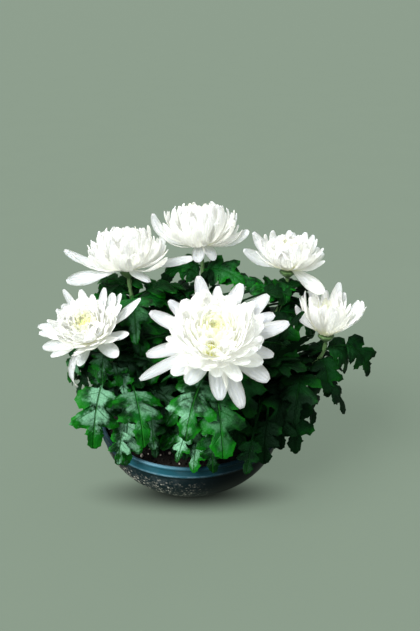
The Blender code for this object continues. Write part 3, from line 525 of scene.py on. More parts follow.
def clears_bowl(points):
    """True where a leaf stays above the soil and the rim, outside the bowl and off the ground."""
    radius = np.hypot(points[:, 0], points[:, 1])
    over = points[:, 2] > BOWL_HEIGHT + 0.003
    outside = (radius > RIM_RADIUS + 0.004) & (points[:, 2] > 0.010)
    return bool(np.all(over | outside))


def place_leaves():
    """The leaves of each stem, those that show from the front first, each clear of every other piece."""
    STEM_LINES[:] = [stem_line(k, 81) for k in range(len(BLOOMS))]
    blooms = np.concatenate([bloom_cloud(bloom, k) for k, bloom in enumerate(BLOOMS)])
    leaves = [[] for _ in BLOOMS]
    clouds = [[] for _ in BLOOMS]
    rng = np.random.default_rng(SEED)

    def placed(leaf):
        """Keeps a leaf that has room, and tells whether it has."""
        points = leaf.cloud()
        root = leaf.frames(np.array([-9.0]))[0][0]
        if not clears_bowl(points) or nearest(points, blooms) < LEAF_GAP:
            return False
        for k, line in enumerate(STEM_LINES):
            others, room = [line, *clouds[k]], LEAF_GAP
            if k == leaf.stem:
                others = [cloud[np.linalg.norm(cloud - root, axis=1) > ROOT_ROOM] for cloud in clouds[k]]
                room = OWN_LEAF_GAP
            if any(len(cloud) and nearest(points, cloud) < room for cloud in others):
                return False
        leaves[leaf.stem].append(leaf)
        clouds[leaf.stem].append(points)
        return True

    for leaf in FRONT_LEAVES:
        placed(leaf)
    for order in range(BACK_LEAVES):
        for stem in range(len(BLOOMS)):
            for attempt in range(TRIES):
                if placed(rule_leaf(stem, order, attempt, rng)):
                    break
    return leaves


def fill_leaf(stem, order, rng):
    """A leaf for the gaps: of five, two hang low near the rim and the last is high between the blooms."""
    low = order % 5 < 2
    share = rng.uniform(0.14, 0.36) if low else rng.uniform(0.25, 0.93)
    root = stem_point(stem, share)
    angle = rng.uniform(0, 2 * np.pi)
    size = (1.0 - 0.30 * share) * rng.uniform(0.7, 1.0)
    reach = 0.060 * size * rng.uniform(0.6, 1.1)
    tip = root + np.array([reach * math.cos(angle), reach * math.sin(angle), rng.uniform(-0.03, 0.012)])
    if order % 5 == 4:
        tip = np.array([rng.uniform(-0.09, 0.12), rng.uniform(-0.05, 0.06), rng.uniform(0.140, 0.198)])
    if low:
        around = math.atan2(root[1], root[0]) + rng.uniform(-1.3, 1.3)
        reach = rng.uniform(0.060, 0.094)
        tip = np.array([reach * math.cos(around), reach * math.sin(around), rng.uniform(0.070, 0.082)])
    leaf = Leaf(stem, share, tip, 0.056 * size, rng.uniform(0.006, 0.018), rng.uniform(-30, 30))
    leaf.inner = True
    return leaf


def fill_leaves(placed):
    """More leaves, which may touch each other, to close the foliage behind the others, and the added ones."""
    blooms = np.concatenate([bloom_cloud(bloom, k) for k, bloom in enumerate(BLOOMS)])
    rng = np.random.default_rng(SEED + 9)
    low, high = np.array(SOLID_BOX[0]) + BOX_MARGIN, np.array(SOLID_BOX[1]) - BOX_MARGIN
    for stem in range(len(BLOOMS)):
        for order in range(FILL_LEAVES):
            for _ in range(FILL_TRIES):
                leaf = fill_leaf(stem, order, rng)
                points = leaf.cloud()
                inside = bool(np.all((points > low) & (points < high)))
                if inside and clears_bowl(points) and nearest(points, blooms) > FILL_GAP:
                    placed[stem].append(leaf)
                    break
    for leaf in ADDED_LEAVES:
        placed[leaf.stem].append(leaf)
    return placed


# Surfaces


def loft_faces(rings, around):
    """Faces of one closed loft, as (quads, triangles): its rings in order, then a pole at either end."""
    ring, step = np.meshgrid(np.arange(rings - 1), np.arange(around), indexing="ij")
    after = (step + 1) % around
    low, high = ring * around, (ring + 1) * around
    quads = np.stack([low + step, low + after, high + after, high + step], -1).reshape(-1, 4)
    step, after, last = step[0], after[0], (rings - 1) * around
    first_pole, last_pole = rings * around, rings * around + 1
    start = np.stack([after, step, 0 * step + first_pole], -1)
    end = np.stack([last + step, last + after, 0 * step + last_pole], -1)
    return quads, np.concatenate([start, end])


def closed_lofts(rings, first, last):
    """Points, quads and triangles of many like lofts, from their rings (loft, ring, around, 3) and poles."""
    lofts, count, around, _ = rings.shape
    size = count * around + 2
    points = np.concatenate([rings.reshape(lofts, count * around, 3), first[:, None], last[:, None]], 1)
    quads, fans = loft_faces(count, around)
    offset = (np.arange(lofts) * size)[:, None, None]
    return points.reshape(-1, 3), (quads[None] + offset).reshape(-1, 4), (fans[None] + offset).reshape(-1, 3)


def per_vertex(values, rings, first, last):
    """Values per vertex of lofts, in closed_lofts' order, from those on the rings and at the poles."""
    lofts = len(rings)
    flat = np.broadcast_to(values, rings.shape[:3]).reshape(lofts, -1)
    poles = [np.broadcast_to(end, (lofts,))[:, None] for end in (first, last)]
    return np.concatenate([flat, *poles], 1).ravel()


def per_loft(values, rings):
    """One value for all vertices of each loft."""
    return per_vertex(values[:, None, None], rings, values, values)


def add_object(name, data):
    """A new object in the scene."""
    made = bpy.data.objects.new(name, data)
    bpy.context.scene.collection.objects.link(made)
    return made


def mesh_values(mesh, uv, values, rim):
    """Gives a mesh its UV map and attributes, and sharp edges where both ends are on the rim."""
    if uv is not None:
        corner = np.empty(len(mesh.loops), np.int32)
        mesh.loops.foreach_get("vertex_index", corner)
        mesh.uv_layers.new(name="UVMap").data.foreach_set("uv", np.asarray(uv, np.float32)[corner].ravel())
    for key, each in (values or {}).items():
        kept = mesh.attributes.new(key, "FLOAT", "POINT")
        kept.data.foreach_set("value", np.asarray(each, np.float32))
    if rim is not None:
        ends = np.empty(2 * len(mesh.edges), np.int32)
        mesh.edges.foreach_get("vertices", ends)
        sharp = mesh.attributes.new("sharp_edge", "BOOLEAN", "EDGE")
        sharp.data.foreach_set("value", np.asarray(rim, bool)[ends.reshape(-1, 2)].all(1))


def new_piece(name, parts, material, node, slot, uv=None, values=None, rim=None):
    """An object from (points, quads, triangles) parts, smooth, with UVs and attributes, riding on the frame.

    rim is true at the vertices along the thin edges of petals and leaves, where the shading turns sharply.
    """
    points, faces, start = [], [], 0
    for some, quads, fans in parts:
        points.append(some)
        faces += (quads + start).tolist() + (fans + start).tolist()
        start += len(some)
    mesh = bpy.data.meshes.new(name)
    mesh.from_pydata(np.concatenate(points).tolist(), [], faces)
    mesh.polygons.foreach_set("use_smooth", np.ones(len(mesh.polygons), bool))
    mesh_values(mesh, uv, values, rim)
    mesh.validate()
    mesh.update()
    mesh.materials.append(material)
    piece = add_object(name, mesh)
    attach(piece, "root")
    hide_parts(node)
    return piece


def lens_section(around):
    """Shares across and through a lens-shaped section: the cosine and sine of equal steps round it."""
    return np.cos(turns(around)), np.sin(turns(around))


def rim_mask(rings):
    """True at the two edge points of every section of lens-shaped lofts, and at their last poles."""
    around = rings.shape[2]
    return per_vertex(np.arange(around) % (around // 2) == 0, rings, False, True)


def on_axis(height):
    """The pole of one loft, on the Z axis."""
    return np.array([[0, 0, height]])


def turned_surface(radius, height, around):
    """Rings of a surface turned about Z: (r cos a, r sin a, z) for every profile point and angle."""
    flat = np.stack([*lens_section(around), np.zeros(around)], -1)
    return radius[:, None, None] * flat[None] + height[:, None, None] * np.array([0, 0, 1.0])


def rounded(points, radius, steps=4):
    """A profile whose inner corners are replaced by short quadratic curves that start radius away."""
    points = np.asarray(points, float)
    out = [points[:1]]
    for before, corner, after in zip(points, points[1:], points[2:]):
        back, on = before - corner, after - corner
        near, far = np.linalg.norm(back), np.linalg.norm(on)
        a = corner + back / near * min(radius, 0.45 * near)
        b = corner + on / far * min(radius, 0.45 * far)
        t = np.linspace(0, 1, steps)[:, None]
        out.append(a * (1 - t) ** 2 + 2 * corner * t * (1 - t) + b * t**2)
    out.append(points[-1:])
    return np.concatenate(out)


def bowl_outside(count):
    """(radius, height) down the outside of the bowl, below its collar.

    For angles a from a quarter turn to nothing, the radius is foot + spread sin(a)^1.6 and the height is the
    body's height times 1 - cos(a).
    """
    angle = np.linspace(0.5 * np.pi, 0, count)
    spread = RIM_RADIUS - COLLAR_STEP - FOOT_RADIUS
    radius = FOOT_RADIUS + spread * np.sin(angle) ** BOWL_FLARE
    return np.stack([radius, (BOWL_HEIGHT - COLLAR_HEIGHT) * (1 - np.cos(angle))], -1)


def bowl_profile():
    """(radius, height) from the middle of the bowl's floor up inside, over the lip, and down to its foot."""
    outside = bowl_outside(28)
    wall = outside[outside[:, 1] > BOWL_FLOOR] - np.array([BOWL_WALL, 0])
    lip = RIM_RADIUS - COLLAR_STEP - BOWL_WALL
    top, low = BOWL_HEIGHT, BOWL_HEIGHT - COLLAR_HEIGHT
    inside = rounded([(0.004, BOWL_FLOOR), (FOOT_RADIUS - BOWL_WALL, BOWL_FLOOR), *wall[::-1]], 0.0008)
    collar = rounded([
        (lip, low), (lip, top - 0.0030), (lip + 0.0012, top - 0.0004), (RIM_RADIUS - 0.0012, top),
        (RIM_RADIUS, top - 0.0012), (RIM_RADIUS, top - 0.0026), (RIM_RADIUS - 0.0009, top - 0.0034),
        (RIM_RADIUS - 0.0011, low + 0.0022), (RIM_RADIUS - 0.0003, low + 0.0015), (RIM_RADIUS - 0.0004, low),
        (RIM_RADIUS - COLLAR_STEP, low - 0.0004),
    ], 0.0006)
    foot = rounded([outside[-3], outside[-2], (FOOT_RADIUS, 0.0), (0.004, 0.0)], 0.0008)
    return np.concatenate([inside, collar[1:], outside[1:-3], foot])


def bowl_shape():
    """The bowl turned from its profile, closed at the middle of its floor and of its foot."""
    profile = bowl_profile()
    rings = turned_surface(profile[:, 0], profile[:, 1], BOWL_AROUND)[None, ::-1]
    return closed_lofts(rings, on_axis(0.0), on_axis(BOWL_FLOOR))


def drain_shape():
    """Upright rods through the bowl's floor, for its drain holes."""
    angle = turns(DRAIN_COUNT) + np.pi / DRAIN_COUNT
    middle = np.stack([DRAIN_CIRCLE * np.cos(angle), DRAIN_CIRCLE * np.sin(angle), 0 * angle], -1)
    ends = np.array([-0.002, BOWL_FLOOR + 0.002])
    rings = middle[:, None, None] + turned_surface(np.full(2, DRAIN_RADIUS), ends, 32)[None]
    return closed_lofts(rings, middle + [0, 0, ends[0]], middle + [0, 0, ends[1]])


def bumps(x, y, reach, count, size, rng):
    """Height of many round humps at (x, y): the sum of a exp(-(d / r)^2) over humps strewn within reach."""
    spot = rng.uniform(-reach, reach, (count, 2))
    radius = size * rng.uniform(0.5, 1.4, count)
    height = rng.uniform(-0.4, 1.0, count) * radius * 0.45
    distance = (x[..., None] - spot[:, 0]) ** 2 + (y[..., None] - spot[:, 1]) ** 2
    return (height * np.exp(-distance / radius**2)).sum(-1)


def soil_top(x, y):
    """Height of the soil's crumbly top: its smooth mound, with humps of two sizes that fade at the wall."""
    radius = np.hypot(x, y)
    edge = RIM_RADIUS - COLLAR_STEP - BOWL_WALL - GAP
    fade = np.clip((0.97 * edge - radius) / 0.012, 0, 1)
    humps = sum(
        bumps(x, y, edge, count, size, np.random.default_rng(SEED + k))
        for k, (count, size) in enumerate(SOIL_HUMPS)
    )
    return soil_level(radius) + fade * np.clip(humps, *HUMP_RANGE)


def soil_shape():
    """The soil: rings of its crumbly top from the middle out, then down the bowl's wall to its floor."""
    outside = bowl_outside(20)
    wall = outside[outside[:, 1] > BOWL_FLOOR] - np.array([BOWL_WALL + GAP, -GAP])
    top = np.linspace(0.002, wall[0, 0], SOIL_RINGS)
    rings = turned_surface(top, 0 * top, SOIL_AROUND)
    rings[..., 2] = soil_top(rings[..., 0], rings[..., 1])
    floor = np.array([(FOOT_RADIUS - BOWL_WALL - 2 * GAP, BOWL_FLOOR + GAP), (0.004, BOWL_FLOOR + GAP)])
    below = np.concatenate([wall[wall[:, 1] < soil_level(wall[0, 0]) - 0.001], floor])
    lower = turned_surface(below[:, 0], below[:, 1], SOIL_AROUND)
    both = np.concatenate([rings, lower])[None, ::-1]
    return closed_lofts(both, on_axis(BOWL_FLOOR + GAP), on_axis(float(soil_level(0.0)) + 0.0006))


def crumb_shapes(rng):
    """Lumps of soil: spheres of six by eight faces, squashed, and swollen by 25% in three directions."""
    radius = (RIM_RADIUS - 0.008) * np.sqrt(rng.uniform(0, 1, CRUMBS))
    angle = rng.uniform(0, 2 * np.pi, CRUMBS)
    x, y = radius * np.cos(angle), radius * np.sin(angle)
    least, most = CRUMB_SIZES
    size = least + (most - least) * rng.uniform(0, 1, CRUMBS) ** 2.5
    pale = (rng.uniform(0, 1, CRUMBS) < PALE_CRUMBS).astype(float)
    down = np.linspace(0, np.pi, 7)[1:-1]
    ball = turned_surface(np.sin(down), np.cos(down), 8)[::-1]
    way = unit(rng.normal(size=(CRUMBS, 3, 3)))
    swell = 1 + 0.25 * np.maximum(np.einsum("raj,cdj->crad", ball, way), 0).sum(-1)
    squash = rng.uniform(0.6, 1.1, (CRUMBS, 3))
    middle = np.stack([x, y, soil_top(x, y) + 0.25 * size], -1)
    scale = (size[:, None] * squash)[:, None, None]
    rings = middle[:, None, None] + ball[None] * swell[..., None] * scale
    upright = np.array([0, 0, 1.0]) * (size * squash[:, 2])[:, None]
    low, high = middle - upright, middle + upright
    return closed_lofts(rings, low, high), per_loft(pale, rings)


def tube_rings(line, radii, around, ribs):
    """Rings round a line: r (1 + 0.05 cos(ribs a)) at every angle a, square to it and level on its X side."""
    ahead = unit(np.gradient(line, axis=0))
    side = unit(np.array([1.0, 0, 0]) - ahead * ahead[:, :1])
    up = np.cross(ahead, side)
    angle = turns(around)
    reach = radii[:, None] * (1 + 0.05 * np.cos(ribs * angle))
    rings = line[:, None] + side[:, None] * (reach * np.cos(angle))[..., None]
    return rings + up[:, None] * (reach * np.sin(angle))[..., None]


def stem_shape(index):
    """A stem: a ribbed tube along its line that opens into its bloom's cup.

    Its radius shrinks evenly on the way up, swells by 6% at every joint, and grows to the cup's with the
    0.9th power of a quarter sine wave.
    """
    coarse = stem_line(index, 161)
    run = run_along(coarse)
    neck = run[-1] - CALYX_LENGTH
    up_the_cup = np.array((0.15, 0.32, 0.50, 0.66, 0.82, 0.95, 1.0))
    at = np.concatenate([np.linspace(0, neck, STEM_RINGS), run[-1] - CALYX_LENGTH * (1 - up_the_cup)])
    line = points_at(coarse, run, at)
    radii = STEM_RADIUS * np.linspace(1.0, STEM_TAPER, len(at))
    radii *= 1 + 0.06 * np.cos(2 * np.pi * at / STEM_JOINTS)
    cup = np.clip((at - neck) / CALYX_LENGTH, 0, 1)
    radii += (0.97 * CALYX_RADIUS - radii) * np.sin(0.5 * np.pi * cup) ** 0.9
    rings = tube_rings(line, radii, STEM_AROUND, 6)[None]
    across = per_vertex(np.arange(STEM_AROUND) / STEM_AROUND, rings, 0.5, 0.5)
    along = per_vertex((at / run[-1])[:, None], rings, 0.0, 1.0)
    return closed_lofts(rings, line[:1], line[-1:]), np.stack([across, along], -1)


def leaf_outline(rng):
    """Half of a leaf's toothed outline with seeded shifts: rib, (along, across), place among the veins."""
    rows = np.arange(len(LEAF_OUTLINE))
    rib, edge = LEAF_OUTLINE[:, 0], LEAF_OUTLINE[:, 1:]
    slow = np.interp(rows[:, None] + 0 * edge, VEIN_ROWS, rng.normal(size=len(VEIN_ROWS))) * VEIN_SHIFT
    inside = np.clip(edge[:, 1:] / 0.15, 0, 1)
    place = np.interp(rows, VEIN_ROWS, 0.5 * np.arange(len(VEIN_ROWS)))
    out = unit(np.stack([-np.gradient(edge[:, 1]), np.gradient(edge[:, 0])], -1))
    teeth = (rows % 2 - 0.4)[:, None] * rng.uniform(0.3, 1.3, (len(rows), 1)) * TOOTH * inside
    return rib, edge + slow * inside * np.array([1.0, 0.8]) + teeth * out, place


def leaf_shape(leaf, thickness, rng):
    """Rings, poles and values of one leaf: a round stalk that flattens into a lobed blade.

    A blade's point q of the way out to the outline lies at x = rib + (edge - rib) |q| and y = edge q. It
    stands off by the fold 0.25 |y| (1 - 1.6 |y|), by pillows of |cos(pi place)| between the veins, by a wave
    along the margins, and by a drooping rim and tip.
    """
    across, through = lens_section(LEAF_AROUND)
    (rib, left, place), (_, right, _) = leaf_outline(rng), leaf_outline(rng)
    q = across[None, :]
    share = 0.5 - 0.5 * np.sign(q)
    edge_x = left[:, :1] * (1 - share) + right[:, :1] * share
    edge_y = (left[:, 1:] * (1 - share) + right[:, 1:] * share) * rng.uniform(0.94, 1.10)
    x = rib[:, None] + (edge_x - rib[:, None]) * np.abs(q)
    y = edge_y * q
    z = LEAF_FOLD * np.abs(y) * (1 - 1.6 * np.abs(y)) * rng.uniform(0.3, 1.2)
    pillow = PILLOW * np.abs(np.cos(np.pi * place))[:, None] * np.sin(np.pi * np.abs(q))
    z += pillow * (edge_y / 0.2).clip(0, 1)
    phase, other_phase = rng.uniform(0, 2 * np.pi, 2)
    z += WAVE * np.sin(9 * x + np.where(q > 0, phase, other_phase)) * np.abs(y) / 0.3
    z -= rng.uniform(0.05, 0.45) * y**2 * np.abs(q)
    z -= rng.uniform(-0.1, 0.35) * np.clip(x - 0.55, 0, 1) ** 2
    rise = 1 + 1.3 * np.exp(-(y / 0.02) ** 2) * (1 - 0.7 * x.clip(0, 1))
    z += thickness / leaf.blade * rise * through[None, :]
    low = min(leaf.foot(), -0.02)
    stalk = np.linspace(low, -0.02, STALK_RINGS)
    radius = np.linspace(*STALK_RADII, STALK_RINGS) / leaf.blade
    points, side, up = leaf.frames(np.concatenate([stalk[:, None] + 0 * q, x]))
    y = np.concatenate([radius[:, None] * q, y])
    z = np.concatenate([0.8 * radius[:, None] * through[None, :], z])
    rings = points + side * (y * leaf.blade)[..., None] + up * (z * leaf.blade)[..., None]
    lobe = np.concatenate([np.zeros(STALK_RINGS), place])[:, None] + 0 * q
    under = 0.5 - 0.5 * through[None, :] + 0 * lobe
    values = {"lobe": lobe, "across": 0 * lobe + q, "away": np.abs(y), "under": under}
    return rings, leaf.frames(np.array([low]))[0], rings[-1].mean(0)[None], values


def leaves_shape(leaves, thickness, seed):
    """All leaves of a stem as one part, with a UV map (lobe, across) and values per vertex.

    Painted shade grows to the right and downwards, painted sheen to the front and left, and inner marks the
    leaves inside the plant, which get painted shade too.
    """
    rng = np.random.default_rng(seed)
    all_rings, first, last, marks = zip(*(leaf_shape(leaf, thickness, rng) for leaf in leaves))
    rings = np.stack(all_rings)
    shape = closed_lofts(rings, np.concatenate(first), np.concatenate(last))
    ends = {"lobe": (0.0, 3.0), "across": (0.0, 0.0), "away": (0.0, 0.0), "under": (0.5, 0.5)}
    values = {key: per_vertex(np.stack([mark[key] for mark in marks]), rings, *ends[key]) for key in ends}
    x, y, z = shape[0].T
    # Painted shade on the plant's right side below the top, and painted sheen towards the front and left
    values["shade"] = np.clip((x - 0.024) / 0.044, 0, 1) * np.clip((0.162 - z) / 0.036, 0, 1)
    values["wax"] = np.clip((-0.025 - y) / 0.030, 0, 1) * np.clip((0.035 - x) / 0.040, 0, 1)
    values["tint"] = per_loft(rng.uniform(0, 1, len(leaves)), rings)
    values["inner"] = per_loft(np.array([leaf.inner for leaf in leaves], float), rings)
    uv = np.stack([values.pop("lobe") / 4, 0.5 + 0.5 * values.pop("across")], -1)
    return shape, uv, values, rim_mask(rings)


def petal_lofts(frames, stations, half, off, around):
    """Rings, closed lofts and UV map of petals.

    The section at each station spans half to both sides of the centre line, and its points stand off by off.
    """
    centre, side, up = frames
    across, _ = lens_section(around)
    rings = centre[:, :, None] + side[:, :, None] * (half[..., None] * across)[..., None]
    rings = rings + up[:, :, None] * off[..., None]
    along = per_vertex(stations[:, None], rings, 0.0, 1.0)
    over = per_vertex(0.5 + 0.5 * across, rings, 0.5, 0.5)
    return rings, closed_lofts(rings, centre[:, 0], centre[:, -1]), np.stack([along, over], -1)


def eased_top(height):
    """Heights that reach past the top of the solids, eased to stay below it."""
    over = np.maximum(height - (SOLID_BOX[1][2] - TOP_EASE), 0)
    return height + (TOP_EASE * (1 - np.exp(-over / TOP_EASE)) - over)


def petals_shape(index, thickness, cup):
    """Every petal of a bloom as one part.

    At a share s of its length a petal's section is a lens of half width w(s): its point at angle a lies at
    w cos a across and, upwards, cup w cos(a)^2 (deeper towards the root) + a fine ripple + thickness sin a.
    """
    bloom = DRAWN_BLOOMS.get(index, BLOOMS[index])
    petals = inner_petals(bloom, index)
    petals["length"] = PETAL_TRIM * petals["length"]
    rng = np.random.default_rng(SEED + 50 + index)
    count = len(petals["width"])
    stations = np.array(PETAL_STATIONS)
    across, through = lens_section(PETAL_AROUND)
    half = petal_half_width(stations)[None, :] * petals["width"][:, None]
    hollow = cup * (1.5 - 0.9 * stations)[None, :] * rng.uniform(0.6, 1.4, count)[:, None]
    lean = rng.uniform(-0.25, 0.25, (count, 1))
    ripple = 0.10 * np.sin(2 * np.pi * (1.3 * stations[None, :] + rng.uniform(0, 1, (count, 1))))
    lift = hollow[..., None] * across**2 + (lean + ripple)[..., None] * across * np.abs(across)
    off = half[..., None] * lift + 0.5 * thickness * through
    frames = petal_frames(bloom, petals, stations)
    rings, shape, uv = petal_lofts(frames, stations, half, off, PETAL_AROUND)
    shape[0][:, 2] = eased_top(shape[0][:, 2])
    extra = int(FILL_PETALS * bloom.petals)
    order = np.concatenate([np.arange(extra), np.arange(count - extra)])
    layer = np.clip((order + 0.5) / bloom.petals, 0, 1)
    # Painted glow: strongest in the inner layers, weakest outside
    strongest, weakest = BLOOM_PAINTED_GLOW[index]
    glow = np.clip(strongest - 1.2 * (strongest - weakest) * layer, weakest, strongest)
    cream = BLOOM_CREAM[index] * layer
    looks = {"layer": layer, "tint": rng.uniform(0, 1, count), "glow": glow, "cream": cream}
    values = {key: per_loft(value, rings) for key, value in looks.items()}
    return shape, uv, values, rim_mask(rings)


def heart_shape(index):
    """The tight middle of a bloom: unopened florets, small bent lenses on a golden spiral over a dome.

    Floret k stands k golden angles round the axis, at sqrt((k + 0.5) / count) of the way out.
    """
    bloom = BLOOMS[index]
    share = np.sqrt((np.arange(FLORETS) + 0.5) / FLORETS)
    slope = 88 - 30 * share
    rng = np.random.default_rng(SEED + 80 + index)
    dome = bloom.core_height + 0.0002 + HEART_HEIGHT * 0.45 * (1 - share**2)
    florets = {
        "radius": 0.93 * HEART_RADIUS * share + PETAL_SINK * np.cos(np.radians(slope)),
        "height": dome + PETAL_SINK * np.sin(np.radians(slope)),
        "azimuth": np.arange(FLORETS) * GOLDEN_ANGLE,
        "start": slope,
        "end": slope + 40 + rng.uniform(-15, 15, FLORETS),
        "length": 0.0030 + 0.0022 * share,
        "width": 0.0013 + 0.0008 * share,
        "twist": np.zeros(FLORETS),
    }
    stations = np.array((0.0, 0.35, 0.7, 0.95))
    across, through = lens_section(6)
    half = petal_half_width(stations)[None, :] * florets["width"][:, None]
    off = 0.0005 * through + 0.5 * half[..., None] * across**2
    _, shape, uv = petal_lofts(petal_frames(bloom, florets, stations), stations, half, off, 6)
    foot, rise = bloom.core_height + GAP, 0.0022
    dome_share = np.linspace(1, 0.08, 8)
    cap = turned_surface(HEART_RADIUS * dome_share, foot + rise * (1 - dome_share**2), 24)[None]
    shapes = (cap, on_axis(foot), on_axis(foot + rise))
    base = closed_lofts(*(points @ bloom.turn.T + bloom.base for points in shapes))
    return [shape, base], np.concatenate([uv, np.tile([0.2, 0.5], (len(base[0]), 1))])


# Finishes


class Wire:
    """A value, colour or vector in a look's node tree. Arithmetic on wires adds the nodes for it."""

    def __init__(self, look, socket):
        self.look, self.socket = look, socket

    def __add__(self, other):
        return self.look.math("ADD", self, other)

    def __mul__(self, other):
        return self.look.math("MULTIPLY", self, other)

    def __sub__(self, other):
        return self.look.math("SUBTRACT", self, other)

    def __rsub__(self, other):
        return self.look.math("SUBTRACT", other, self)

    def __truediv__(self, other):
        return self.look.math("DIVIDE", self, other)

    def __abs__(self):
        return self.look.math("ABSOLUTE", self)

    __radd__, __rmul__ = __add__, __mul__

    def most(self, other):
        """The larger of two values."""
        return self.look.math("MAXIMUM", self, other)

    def rise(self, low, high):
        """The value eased from 0 at low to 1 at high."""
        return self.look.put("ShaderNodeMapRange", {"Value": self, "From Min": low, "From Max": high},
                             interpolation_type="SMOOTHSTEP")

    def fall(self, low, high):
        """The value eased from 1 at low to 0 at high."""
        return 1.0 - self.rise(low, high)

    def mix(self, one, other):
        """The colour this share of the way from one to the other."""
        return self.look.put("ShaderNodeMix", {0: self, 6: one, 7: other}, 2, data_type="RGBA")


class Look:
    """A material with values set on its Principled shader, and the wires that its look is worked out from."""

    def __init__(self, name, **sockets):
        self.material = bpy.data.materials.new(name)
        self.material.use_nodes = True
        self.tree = self.material.node_tree
        self.shader = self.tree.nodes["Principled BSDF"]
        for key, value in sockets.items():
            self.show(key.replace("_", " "), value)
        self.where = self.put("ShaderNodeTexCoord", {}, "Object")
        self.uv = self.put("ShaderNodeTexCoord", {}, "UV")

    def put(self, kind, inputs, output=0, **settings):
        """An output of a new node. Each input is a number, a colour, a vector or a wire."""
        node = self.tree.nodes.new(kind)
        for name, value in settings.items():
            setattr(node, name, value)
        for name, value in inputs.items():
            self.feed(node.inputs[name], value)
        return Wire(self, node.outputs[output])

    def feed(self, socket, value):
        """Leads a wire into a socket, or sets the socket's own value."""
        if isinstance(value, Wire):
            self.tree.links.new(value.socket, socket)
        elif socket.type == "RGBA":
            socket.default_value = (*value, 1.0)
        else:
            socket.default_value = value

    def show(self, name, value):
        """Gives a wire or a value to the shader."""
        self.feed(self.shader.inputs[name], value)

    def math(self, operation, *values):
        """One arithmetic step on values."""
        return self.put("ShaderNodeMath", dict(enumerate(values)), operation=operation)

    def kept(self, name):
        """A value kept on the mesh."""
        return self.put("ShaderNodeAttribute", {}, "Fac", attribute_name=name)

    def axes(self, vector):
        """The X, Y and Z of a vector."""
        return [self.put("ShaderNodeSeparateXYZ", {"Vector": vector}, axis) for axis in "XYZ"]

    def noise(self, scale, detail=3.0, roughness=0.55, at=None):
        """Cloudy noise from 0 to 1."""
        return self.put("ShaderNodeTexNoise", {
            "Vector": at or self.where, "Scale": scale, "Detail": detail, "Roughness": roughness}, "Fac")

    def cells(self, scale, feature="F1"):
        """Distance to the nearest seed of a scattered pattern of cells, or to the nearest edge of a cell."""
        inputs = {"Vector": self.where, "Scale": scale}
        return self.put("ShaderNodeTexVoronoi", inputs, "Distance", feature=feature)

    def stretched(self, vector, scale, shift=(0.0, 0.0, 0.0)):
        """Coordinates scaled along each axis, then moved."""
        return self.put("ShaderNodeMapping", {"Vector": vector, "Scale": scale, "Location": shift}, "Vector")

    def distance(self, vector, point):
        """How far a vector is from a point."""
        return self.put("ShaderNodeVectorMath", {0: vector, 1: point}, "Value", operation="DISTANCE")

    def bump(self, height, distance, strength=1.0):
        """Relief on the shader."""
        self.show("Normal", self.put("ShaderNodeBump", {
            "Height": height, "Distance": distance, "Strength": strength}))


def petal_finish(settings):
    """White petals, cream at the root and in the inner layers, with fine lengthwise ribs and painted
    grey-green shade along them.

    They glow by the value glow, a painted glow in their emission, and cream reaches further by the value
    cream. Where the petals of the large bloom part, they are yellow and their painted glow is weaker.
    """
    # Painted glow: the petals shine by themselves through their emission
    look = Look("petal_white", Roughness=0.55, Subsurface_Weight=0.90, Subsurface_Scale=0.008,
                Subsurface_Radius=(1.0, 0.95, 0.8), Specular_IOR_Level=0.2, Emission_Strength=settings.glow)
    along, over, _ = look.axes(look.uv)
    layer = look.kept("layer")
    reach = 0.62 - 0.45 * layer + look.kept("cream")
    root = (along / reach).fall(0.05, 1.0)
    furrow = look.math("COSINE", PETAL_FURROWS * 2 * math.pi * over + look.noise(60.0, 1.0))
    ribs = 0.35 * furrow + look.noise(1.0, 2.0, at=look.stretched(look.uv, (2.0, 26.0, 1.0)))
    # Painted shade: grey-green along the furrows and ribs
    shaded = (0.34 * ribs).mix(settings.colour, (0.74, 0.79, 0.70))
    tinted = (0.25 * look.kept("tint")).mix(shaded, (0.90, 0.90, 0.83))
    cream = (0.9 * root).most(0.75 * layer.fall(0.02, 0.30))
    white = cream.mix(tinted, settings.root_colour)
    parting = look.distance(look.where, FRONT_PARTING).fall(0.003, 0.0105)
    parting = look.math("MINIMUM", parting * (0.9 * ribs + 0.40), 1.0)
    look.show("Base Color", parting.mix(white, (0.56, 0.57, 0.06)))
    # Painted glow: the emission colour, brighter where the value glow is higher
    shine = look.kept("glow").mix((0.40, 0.40, 0.35), (1.0, 1.0, 0.93))
    look.show("Emission Color", parting.mix(shine, (0.30, 0.28, 0.03)))
    look.bump(ribs, 0.0005, 0.6)
    return look.material


def heart_finish(settings):
    """Unopened florets: yellow-green at the root and cream at the tip, or cream by the value pale."""
    look = Look("heart_cream", Roughness=0.6, Subsurface_Weight=0.2, Subsurface_Scale=0.002,
                Specular_IOR_Level=0.3)
    spots = look.noise(900.0)
    colour = look.axes(look.uv)[0].rise(0.25, 0.95).mix(settings.heart_colour, (0.86, 0.84, 0.48))
    colour = (0.3 * spots).mix(colour, (0.55, 0.60, 0.12))
    look.show("Base Color", look.kept("pale").mix(colour, (0.86, 0.87, 0.60)))
    look.bump(spots, 0.0003)
    return look.material


def leaf_veins(look, lobe, across):
    """How much of a leaf is midrib, and how much is one of the side veins, which fade towards the margin."""
    beside = abs(look.math("FRACT", 4.0 * lobe) - 0.5)
    side_vein = beside.fall(0.005, 0.035) * across.fall(0.40, 0.90)
    return look.kept("away").fall(0.004, 0.018), side_vein


def leaf_bloom_and_sheen(look, lobe, across, veins, net):
    """How much of a leaf is waxy bloom and painted sheen: cloudy patches, fewer on veins, near margins and on
    some leaves, more towards the front and left.
    """
    bare = 0.16 * across.rise(0.40, 1.00) + 0.10 * lobe.rise(0.35, 0.90)
    patches = (0.14 * look.noise(600.0) + look.noise(72.0, 3.0, 0.56) - bare).rise(0.43, 0.64)
    some = 0.45 * look.kept("tint").rise(0.10, 0.55) + 0.55
    return patches * (1.0 - 0.8 * veins) * (0.30 * net + 0.70) * some * (0.3 * look.kept("wax") + 0.7)


